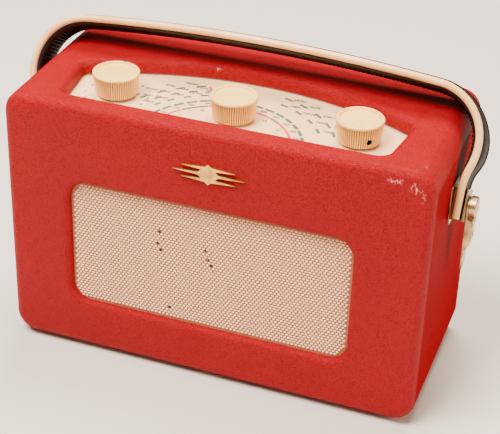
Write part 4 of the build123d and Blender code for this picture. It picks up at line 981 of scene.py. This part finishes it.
# ---------------------------------------------------------------- speaker grille
@dataclass
class GrilleWeave:
    """The woven mesh in the front opening: staggered flat crowns on a cloth ground."""

    pitch_x: float = 2.2 * MM
    pitch_z: float = 1.65 * MM
    crown_half: tuple[float, float, float] = (0.88 * MM, 0.62 * MM, 0.66 * MM)
    margin: float = 6.0 * MM
    corner: float = 10.5 * MM
    lip_gap: float = 0.1 * MM

    def crown(self) -> bpy.types.Object:
        """Model one crown: a low ball, flattened behind.

        Returns:
            The crown, round the origin.
        """
        deselect_all()
        bpy.ops.mesh.primitive_uv_sphere_add(segments=8, ring_count=4, radius=1.0)
        piece = name_active("weave_crown")
        bpy.ops.object.mode_set(mode="EDIT")
        bpy.ops.mesh.select_all(action="SELECT")
        bpy.ops.transform.resize(value=self.crown_half)
        bpy.ops.mesh.bisect(
            plane_co=(0, 0.12 * MM, 0), plane_no=(0, 1, 0), use_fill=True, clear_outer=True
        )
        bpy.ops.object.mode_set(mode="OBJECT")
        return piece

    def build(self, finishes: Finishes) -> None:
        """Model the weave, trim it to the opening and dress it.

        Args:
            finishes: The radio's finishes.
        """
        low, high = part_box("speaker_grille")
        left, right = low.x + self.margin, high.x - self.margin
        bottom, top = low.z + self.margin, high.z - self.margin
        face = low.y
        columns = int((right - left) / self.pitch_x)
        rows = int((top - bottom) / (2 * self.pitch_z))
        crown = self.crown()
        twin = copy_at(
            crown, Matrix.Translation((self.pitch_x / 2, 0, self.pitch_z)), "weave_twin"
        )
        piece = joined([crown, twin], "grille_weave")
        apply_modifier(
            piece,
            "ARRAY",
            count=columns,
            use_relative_offset=False,
            use_constant_offset=True,
            constant_offset_displace=(self.pitch_x, 0, 0),
        )
        apply_modifier(
            piece,
            "ARRAY",
            count=rows,
            use_relative_offset=False,
            use_constant_offset=True,
            constant_offset_displace=(0, 0, 2 * self.pitch_z),
        )
        start_x = left + ((right - left) - (columns - 0.5) * self.pitch_x) / 2
        start_z = bottom + ((top - bottom) - (2 * rows - 1) * self.pitch_z) / 2
        piece.data.transform(Matrix.Translation((start_x, face, start_z)))
        self.trim(piece, (left + right) / 2, (bottom + top) / 2, (right - left) / 2, (top - bottom) / 2)
        smooth(piece, 80.0)
        dress(piece, "cabinet", finishes.by_slot["woven_grille"])

    def trim(
        self, piece: bpy.types.Object, cx: float, cz: float, half_x: float, half_z: float
    ) -> None:
        """Take away the crowns that reach past the opening's rounded outline.

        Args:
            piece: The weave.
            cx: The opening's middle along X.
            cz: The opening's middle along Z.
            half_x: Half its width.
            half_z: Half its height.
        """
        make_active(piece)
        bpy.ops.object.mode_set(mode="EDIT")
        bpy.ops.mesh.select_mode(type="VERT")
        bpy.ops.mesh.select_all(action="DESELECT")
        bpy.ops.object.mode_set(mode="OBJECT")
        for vertex in piece.data.vertices:
            past_x = abs(vertex.co.x - cx) - (half_x - self.corner)
            past_z = abs(vertex.co.z - cz) - (half_z - self.corner)
            reach = math.hypot(max(past_x, 0), max(past_z, 0))
            gaps = (math.hypot(vertex.co.x - x, vertex.co.z - z) for x, z in TORN)
            vertex.select = reach > self.corner - self.lip_gap or min(gaps) < 0.3 * MM
        bpy.ops.object.mode_set(mode="EDIT")
        bpy.ops.mesh.select_linked()
        bpy.ops.mesh.delete(type="VERT")
        bpy.ops.object.mode_set(mode="OBJECT")


# ---------------------------------------------------------------- dial
@dataclass
class DialPrint:
    """The printed scales, the station marks and the cursor's red line."""

    height: float = 0.06 * MM
    float_above: float = 0.10 * MM
    broad: float = 1.5 * MM
    centre_ahead: float = 25.3 * MM
    band: float = 37.7 * MM
    dashes: float = 44.0 * MM
    base: float = 0.0

    def ribbon(
        self, name: str, centre: Vector, radius: float, width: float, start: float, end: float
    ) -> bpy.types.Object:
        """Model one arc of print as a thin raised ribbon.

        Args:
            name: The ribbon's name.
            centre: The arc's centre.
            radius: Its middle radius.
            width: Its width.
            start: Its first angle, in degrees.
            end: Its last angle, in degrees.

        Returns:
            The ribbon.
        """
        steps = max(1, int(abs(end - start) / 3.0))

        def place(along: float, across: float) -> Vector:
            """Put one grid point on the arc."""
            turn = math.radians(start + (end - start) * along)
            reach = radius + width * (across - 0.5)
            flat = Vector((math.cos(turn) * reach, math.sin(turn) * reach, 0))
            return Vector((centre.x, centre.y, self.base)) + flat

        piece = rolled_grid(name, steps, 1, place)
        apply_modifier(piece, "SOLIDIFY", thickness=self.height, offset=1.0)
        outward_normals(piece)
        return piece

    def number(self, words: str, x: float, y: float, size: float) -> bpy.types.Object:
        """Model one printed number.

        Args:
            words: The digits.
            x: Its middle, to the radio's right.
            y: Its middle, towards the rear.
            size: The digits' height.

        Returns:
            The number as a mesh.
        """
        deselect_all()
        bpy.ops.object.text_add(location=(x, y, self.base))
        text = bpy.context.object
        text.data.body = words
        text.data.size = size
        text.data.align_x = "CENTER"
        text.data.align_y = "CENTER"
        text.data.extrude = self.height / 2
        text.data.offset = 0.035 * size
        text.data.resolution_u = 3
        bpy.ops.object.convert(target="MESH")
        piece = name_active("digit")
        apply_place(piece)
        return piece

    def on_arc(self, centre: Vector, radius: float, angle: float) -> Vector:
        """Find a point on an arc.

        Args:
            centre: The arc's centre.
            radius: Its radius.
            angle: The angle, in degrees.

        Returns:
            The point.
        """
        turn = math.radians(angle)
        return centre + Vector((math.cos(turn), math.sin(turn), 0)) * radius

    def stations(self, centre: Vector, green: list, dark: list) -> None:
        """Print the rings of station dashes, each with a number beside it.

        Args:
            centre: The scale's centre.
            green: The list that takes the green pieces.
            dark: The list that takes the dark pieces.
        """
        rings = (
            (53.8 * MM, (33.5, 45.0, 57.0, 68.5), 5.6 * MM),
            (61.0 * MM, (28.5, 38.0, 49.0, 61.0, 71.0), 6.0 * MM),
            (50.4 * MM, (109.0, 118.0, 129.0, 140.0, 149.5), -5.6 * MM),
            (56.0 * MM, (113.5, 124.0, 134.5, 145.0), -6.0 * MM),
            (61.4 * MM, (118.5, 129.5, 140.0, 150.0), -6.0 * MM),
        )
        count = 0
        for radius, angles, beside in rings:
            for angle in angles:
                count += 1
                half = 2.6 if beside > 0 else 2.4
                side = green if count % 3 else dark
                side.append(
                    self.ribbon("dash", centre, radius, 1.7 * MM, angle - half, angle + half)
                )
                spot = self.on_arc(centre, radius, angle)
                word = str(11000 + 1973 * count)[: 4 + count % 2]
                dark.append(self.number(word, spot.x + beside, spot.y + 0.8 * MM, 2.9 * MM))

    def build(self, finishes: Finishes) -> None:
        """Model and dress the whole print.

        Args:
            finishes: The radio's finishes.
        """
        plate_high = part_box("dial_plate")[1]
        self.base = plate_high.z + self.float_above
        centres = {}
        for name in ("knob_volume", "knob_tuning", "knob_band"):
            low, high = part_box(name)
            centres[name] = (low + high) / 2
        tuning = centres["knob_tuning"]
        tuning.z = self.base
        centre = tuning + Vector((0, -self.centre_ahead, 0))
        red, green, dark = [], [], []
        for start, end in ((23, 50.5), (63, 117), (141, 157)):
            red.append(self.ribbon("arc", centre, self.band, self.broad, start, end))
        for start, end in ((51.3, 62.2), (117.8, 140.2)):
            dark.append(self.ribbon("arc", centre, self.band, self.broad, start, end))
        for step in range(15):
            angle = 19 + step * 9.6
            green.append(
                self.ribbon("dash", centre, self.dashes, 1.9 * MM, angle, angle + 7.6)
            )
        between = (self.band + self.dashes) / 2
        for angle, words in ((154, "150"), (142, "175"), (130, "200"), (117, "250"), (73, "300"),
                             (61, "350"), (48, "400"), (36, "450"), (25, "500")):
            spot = self.on_arc(centre, between, angle)
            dark.append(self.number(words, spot.x, spot.y, 2.4 * MM))
        for angle, words in ((146, "11"), (124, "12"), (112, "13"), (62, "16"), (42, "19")):
            spot = self.on_arc(centre, self.band - 4.2 * MM, angle)
            dark.append(self.number(words, spot.x, spot.y, 2.6 * MM))
        self.stations(centre, green, dark)
        for name, words, first in (("knob_volume", "0123456789", 215), ("knob_band", "123", 150)):
            step = 26.0 if len(words) > 3 else 35.0
            for index, digit in enumerate(words):
                spot = self.on_arc(centres[name], 17.4 * MM, first - index * step)
                dark.append(self.number(digit, spot.x, spot.y, 2.8 * MM))
        for pieces, name in ((red, "dial_print_red"), (green, "dial_print_green"), (dark, "dial_print_dark")):
            ink = name.rsplit("_", 1)[1] + "_ink"
            dress(joined(pieces, name), "cabinet", finishes.inks[ink])
        self.cursor_line(finishes, tuning)

    def cursor_line(self, finishes: Finishes, tuning: Vector) -> None:
        """Model the red hairline under the cursor's clear arm.

        Args:
            finishes: The radio's finishes.
            tuning: The tuning knob's centre.
        """
        low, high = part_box("tuning_cursor")
        turn = math.atan2(high.y - tuning.y, low.x - tuning.x)
        reach = 35.0 * MM
        deselect_all()
        bpy.ops.mesh.primitive_cube_add(size=1.0)
        piece = name_active("cursor_line")
        bpy.ops.object.mode_set(mode="EDIT")
        bpy.ops.mesh.select_all(action="SELECT")
        bpy.ops.transform.resize(value=(reach - 10 * MM, 1.3 * MM, 0.12 * MM))
        bpy.ops.mesh.bevel(offset=0.03 * MM, segments=2)
        bpy.ops.object.mode_set(mode="OBJECT")
        middle = (reach + 10 * MM) / 2
        piece.data.transform(Matrix.Translation((middle, 0, 0)))
        piece.data.transform(Matrix.Rotation(turn, 4, "Z"))
        piece.data.transform(Matrix.Translation((tuning.x, tuning.y, high.z + 0.06 * MM)))
        dress(piece, "tuning_spindle", finishes.inks["red_ink"])


@dataclass
class KnobTrim:
    """The turned ring on each knob's head and the volume knob's index dot."""

    ring_radius: float = 10.9 * MM
    ring_thickness: float = 0.30 * MM
    dot_radius: float = 0.9 * MM

    def build(self, finishes: Finishes) -> None:
        """Model and dress the rings and the dot.

        Args:
            finishes: The radio's finishes.
        """
        bodies = {
            "knob_volume": "volume_spindle",
            "knob_tuning": "tuning_spindle",
            "knob_band": "band_spindle",
        }
        for name, body in bodies.items():
            low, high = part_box(name)
            middle = (low + high) / 2
            deselect_all()
            bpy.ops.mesh.primitive_torus_add(
                major_radius=self.ring_radius,
                minor_radius=self.ring_thickness,
                major_segments=96,
                minor_segments=10,
                location=(middle.x, middle.y, high.z - 0.12 * MM),
            )
            ring = name_active(name.replace("knob", "knob_ring"))
            apply_place(ring)
            smooth(ring, 60.0)
            dress(ring, body, finishes.by_slot["ivory_plastic"])
        low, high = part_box("knob_volume")
        middle = (low + high) / 2
        deselect_all()
        bpy.ops.mesh.primitive_cylinder_add(
            vertices=24,
            radius=self.dot_radius,
            depth=0.3 * MM,
            location=(middle.x, middle.y + 11.7 * MM, high.z - 0.05 * MM),
        )
        dot = name_active("volume_index_dot")
        bpy.ops.object.mode_set(mode="EDIT")
        bpy.ops.mesh.select_all(action="SELECT")
        bpy.ops.mesh.bevel(offset=0.08 * MM, segments=2)
        bpy.ops.object.mode_set(mode="OBJECT")
        apply_place(dot)
        dress(dot, "volume_spindle", finishes.by_slot["black_plastic"])


# ---------------------------------------------------------------- strap handle
@dataclass
class StrapHandle:
    """The padded strap: a crowned black cushion between its two cords of piping."""

    axis_y: float = -3.0 * MM
    axis_z: float = 115.5 * MM
    lean: float = math.radians(30.0)
    end_x: float = 122.0 * MM
    end_drop: float = 8.0 * MM
    straight: float = 7.0 * MM
    bulge: tuple[float, float] = (126.0 * MM, 30.5 * MM)
    shoulder: tuple[float, float] = (100.0 * MM, 59.0 * MM)
    half_width: float = 9.6 * MM
    flat_half: float = 2.6 * MM
    crown_out: float = 2.9 * MM
    crown_in: float = 4.3 * MM
    bulge_extra: float = 1.3 * MM
    pucker: float = 0.45 * MM
    around: int = 40
    spacing: float = 0.8 * MM

    def tangent_arc(self, start: Vector, end: Vector, tangent: Vector) -> tuple[list[Vector], Vector]:
        """Points along an arc that leaves one point in a given direction and ends at another.

        Args:
            start: The first point.
            end: The last point.
            tangent: The direction at the first point.

        Returns:
            The points after the first, and the direction at the last.
        """
        chord = end - start
        half_turn = math.atan2(tangent.x * chord.y - tangent.y * chord.x, tangent.dot(chord))
        length = chord.length * (half_turn / math.sin(half_turn) if abs(half_turn) > 1e-6 else 1)
        steps = max(2, int(length / self.spacing))
        radius = chord.length / (2 * math.sin(half_turn)) if abs(half_turn) > 1e-6 else 0.0
        normal = Vector((-tangent.y, tangent.x))
        points = []
        for step in range(1, steps + 1):
            turn = 2 * half_turn * step / steps
            points.append(start + tangent * radius * math.sin(turn) + normal * radius * (1 - math.cos(turn)))
        turned = tangent * math.cos(2 * half_turn) + normal * math.sin(2 * half_turn)
        return points, turned

    def path(self) -> list[Vector]:
        """Points along the strap's middle line, in its own leaning plane.

        Returns:
            The points from the right-hand end to the left-hand end.
        """
        up = Vector((0.0, 1.0))
        bend = Vector((self.end_x, self.straight))
        bulge, shoulder = Vector(self.bulge), Vector(self.shoulder)
        points = [Vector((self.end_x, -self.end_drop + self.spacing * k)) for k in range(18)]
        points.append(bend)
        lower, turned = self.tangent_arc(bend, (bend + bulge) / 2, up)
        points += lower
        upper, _ = self.tangent_arc((bend + bulge) / 2, bulge, turned)
        points += upper
        over, turned = self.tangent_arc(bulge, shoulder, up)
        points += over
        across, _ = self.tangent_arc(shoulder, Vector((-shoulder.x, shoulder.y)), turned)
        half = len(across) // 2
        points += across[:half]
        mirrored = [Vector((-p.x, p.y)) for p in reversed(points)]
        if abs(points[-1].x) < 1e-6:
            mirrored = mirrored[1:]
        return points + mirrored

    def to_row(self, x: float, rise: float, across: float) -> Vector:
        """Turn strap coordinates into the radio's own.

        Args:
            x: Distance to the radio's right.
            rise: Distance up along the leaning plane.
            across: Distance across the strap, towards the rear.

        Returns:
            The point.
        """
        sine, cosine = math.sin(self.lean), math.cos(self.lean)
        return Vector(
            (
                x,
                self.axis_y + rise * sine + across * cosine,
                self.axis_z + rise * cosine - across * sine,
            )
        )

    def build(self, finishes: Finishes) -> None:
        """Model the strap's cushion and its stitches, and dress them.

        Args:
            finishes: The radio's finishes.
        """
        points = self.path()
        normals = []
        for index, point in enumerate(points):
            before, after = points[max(0, index - 1)], points[min(len(points) - 1, index + 1)]
            along = (after - before).normalized()
            normals.append(Vector((along.y, -along.x)))
        last = len(points) - 1

        def fullness(point: Vector) -> float:
            """How far the padding has swelled at a point of the path."""
            share = min(1.0, max(0.0, (point.y - 9.0 * MM) / (16.0 * MM)))
            return share * share * (3 - 2 * share)

        def place(along: float, across: float) -> Vector:
            """Put one grid point on the strap's closed section."""
            index = min(last, int(round(along * last)))
            turn = 2 * math.pi * across
            wide, deep = math.cos(turn), math.sin(turn)
            share = fullness(points[index])
            swell = self.bulge_extra * math.exp(-(((points[index].y - 27 * MM) / (13 * MM)) ** 2))
            crown = self.crown_out + swell if deep > 0 else self.crown_in
            depth = self.flat_half + (crown - self.flat_half) * share
            power = 0.62 if deep > 0 else 0.45
            offset = math.copysign(abs(deep) ** power, deep) * depth
            ripple = 0.0
            if deep < 0:
                ripple = self.pucker * share * math.sin(index * 2.1) * (-deep) ** 2
            middle = points[index] + normals[index] * (offset + ripple)
            side = math.copysign(abs(wide) ** 0.8, wide) * self.half_width
            return self.to_row(middle.x, middle.y, side)

        strap = rolled_grid("padded_strap", last, self.around, place)
        make_active(strap)
        bpy.ops.object.mode_set(mode="EDIT")
        bpy.ops.mesh.select_all(action="SELECT")
        bpy.ops.mesh.remove_doubles(threshold=0.00002)
        bpy.ops.mesh.select_all(action="DESELECT")
        bpy.ops.mesh.select_mode(type="EDGE")
        bpy.ops.mesh.select_non_manifold(
            extend=False, use_wire=False, use_boundary=True, use_multi_face=False,
            use_non_contiguous=False, use_verts=False
        )
        bpy.ops.mesh.fill_holes(sides=0)
        bpy.ops.mesh.select_all(action="SELECT")
        bpy.ops.mesh.normals_make_consistent(inside=False)
        bpy.ops.object.mode_set(mode="OBJECT")
        smooth(strap, 60.0)
        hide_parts("handle_strap")
        dress(strap, "handle", finishes.by_slot["black_leather"])
        self.stitches(points, normals, fullness, finishes)

    def stitches(self, points: list, normals: list, fullness, finishes: Finishes) -> None:
        """Sew a row of stitches along each edge of the strap, beside the piping.

        Args:
            points: The path.
            normals: The outward direction at each point.
            fullness: How far the padding has swelled at a point.
            finishes: The radio's finishes.
        """
        deselect_all()
        bpy.ops.mesh.primitive_uv_sphere_add(segments=8, ring_count=6, radius=1.0)
        thread = name_active("strap_thread")
        bpy.ops.object.mode_set(mode="EDIT")
        bpy.ops.mesh.select_all(action="SELECT")
        bpy.ops.transform.resize(value=(1.05 * MM, 0.22 * MM, 0.22 * MM))
        bpy.ops.object.mode_set(mode="OBJECT")
        made = []
        for index in range(28, len(points) - 28, 4):
            share = fullness(points[index])
            if share < 0.3:
                continue
            along = Vector((-normals[index].y, normals[index].x))
            rise = (self.flat_half + (self.crown_out - self.flat_half) * share) * 0.66
            middle = points[index] + normals[index] * rise
            forward = (self.to_row(along.x, along.y, 0) - self.to_row(0, 0, 0)).normalized()
            sideways = (self.to_row(0, 0, 1) - self.to_row(0, 0, 0)).normalized()
            turned = Matrix((forward, sideways, forward.cross(sideways))).transposed().to_4x4()
            for side in (-1, 1):
                spot = self.to_row(middle.x, middle.y, side * 0.84 * self.half_width)
                made.append(copy_at(thread, Matrix.Translation(spot) @ turned, "stitch"))
        bpy.data.objects.remove(thread)
        row = joined(made, "strap_stitches")
        smooth(row, 80.0)
        dress(row, "handle", finishes.by_slot["black_leather"])


# ---------------------------------------------------------------- rear fittings
@dataclass
class RearFittings:
    """The small slotted screws of the hinge leaves."""

    head_radius: float = 1.7 * MM
    head_height: float = 0.6 * MM

    def screw(self) -> bpy.types.Object:
        """Model one domed screw head with its slot, facing the rear.

        Returns:
            The screw head, standing on the origin.
        """
        deselect_all()
        bpy.ops.mesh.primitive_cylinder_add(
            vertices=24, radius=self.head_radius, depth=self.head_height
        )
        piece = name_active("hinge_screw")
        bpy.ops.object.mode_set(mode="EDIT")
        bpy.ops.mesh.select_mode(type="EDGE")
        bpy.ops.mesh.select_all(action="DESELECT")
        bpy.ops.object.mode_set(mode="OBJECT")
        for edge in piece.data.edges:
            ends = [piece.data.vertices[v].co for v in edge.vertices]
            edge.select = all(end.z > 0 for end in ends)
        bpy.ops.object.mode_set(mode="EDIT")
        bpy.ops.mesh.bevel(offset=0.35 * MM, segments=3)
        bpy.ops.object.mode_set(mode="OBJECT")
        deselect_all()
        bpy.ops.mesh.primitive_cube_add(size=1.0, location=(0, 0, self.head_height / 2))
        slot = name_active("slot_cutter")
        slot.scale = (4 * MM, 0.45 * MM, 0.5 * MM)
        apply_place(slot)
        apply_modifier(piece, "BOOLEAN", operation="DIFFERENCE", object=slot, solver="EXACT")
        bpy.data.objects.remove(slot)
        piece.data.transform(Matrix.Translation((0, 0, self.head_height / 2)))
        piece.data.transform(Matrix.Rotation(math.radians(-90), 4, "X"))
        smooth(piece, 35.0)
        return piece

    def build(self, finishes: Finishes) -> None:
        """Copy the screw onto both hinge leaves and dress the copies.

        Args:
            finishes: The radio's finishes.
        """
        screw = self.screw()
        for node, body in (("hinge_leaf_cabinet", "cabinet"), ("hinge_leaf_door", "door")):
            low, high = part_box(node)
            rise = low.z + 2.6 * MM if body == "cabinet" else high.z - 3.2 * MM
            face = low.y + 0.8 * MM
            copies = []
            for index, x in enumerate((-22 * MM, 0.0, 22 * MM)):
                turn = Matrix.Rotation(math.radians(35 + 50 * index), 4, "Y")
                copies.append(copy_at(screw, Matrix.Translation((x, face, rise)) @ turn, "screw_copy"))
            row = joined(copies, f"hinge_screws_{body}")
            dress(row, body, finishes.by_slot["zinc_steel"])
        bpy.data.objects.remove(screw)


# ---------------------------------------------------------------- studio
@dataclass
class Studio:
    """The pale floor, the soft lights and the camera."""

    camera_place: Point = (0.22953, -0.65213, 0.50133)
    camera_turn: Point = (58.428, -1.707, 20.024)
    focal_share: float = 1454.37 / 500.0

    def lamp(self, name: str, place: Point, size: float, power: float, colour: Colour) -> None:
        """Hang one soft square light that faces the radio.

        Args:
            name: The light's name.
            place: Where it hangs.
            size: Its side.
            power: Its power in watts.
            colour: Its colour.
        """
        deselect_all()
        bpy.ops.object.light_add(type="AREA", location=place)
        lamp = bpy.context.object
        lamp.name = name
        lamp.data.size = size
        lamp.data.energy = power
        lamp.data.color = colour
        aim = Vector((0, 0, 0.09)) - Vector(place)
        lamp.rotation_euler = aim.to_track_quat("-Z", "Y").to_euler()

    def build(self) -> None:
        """Set up the floor, the lights, the surroundings and the camera."""
        deselect_all()
        bpy.ops.mesh.primitive_plane_add(size=8.0, location=(0, 0, 0))
        floor = name_active("studio_floor")
        start = MaterialStart("pale_floor")
        mottle = start.wiring.noise(start.coords, 3.0, 4.0)
        start.set("Base Color", start.wiring.mix(mottle, (0.74, 0.71, 0.67), (0.70, 0.67, 0.63)))
        start.set("Roughness", 0.8)
        floor.data.materials.append(start.material)
        self.lamp("key_light", (-0.35, -0.60, 1.50), 0.7, 68.0, (1.0, 0.88, 0.74))
        self.lamp("back_light", (0.0, 0.6, 1.6), 0.8, 50.0, (1.0, 0.90, 0.76))
        self.lamp("side_fill", (1.5, -0.4, 0.8), 1.0, 20.0, (1.0, 0.80, 0.60))
        world = bpy.data.worlds.new("soft_room")
        bpy.context.scene.world = world
        world.use_nodes = True
        world.node_tree.nodes["Background"].inputs[0].default_value = (1.0, 0.88, 0.74, 1.0)
        world.node_tree.nodes["Background"].inputs[1].default_value = 0.20
        bpy.ops.object.camera_add(location=self.camera_place)
        camera = bpy.context.object
        camera.name = "studio_camera"
        camera.rotation_euler = [math.radians(a) for a in self.camera_turn]
        camera.data.sensor_width = 36.0
        camera.data.lens = 36.0 * self.focal_share
        camera.data.clip_start = 0.01
        bpy.context.scene.camera = camera


def main() -> None:
    """Build the radio's looks in order."""
    logging.basicConfig(level=logging.INFO, format="%(name)s %(message)s")
    finishes = Finishes(Effects())
    finishes.dress_nodes()
    Studio().build()
    GrilleWeave().build(finishes)
    DialPrint().build(finishes)
    KnobTrim().build(finishes)
    StrapHandle().build(finishes)
    RearFittings().build(finishes)


if __name__ == "__main__":
    main()
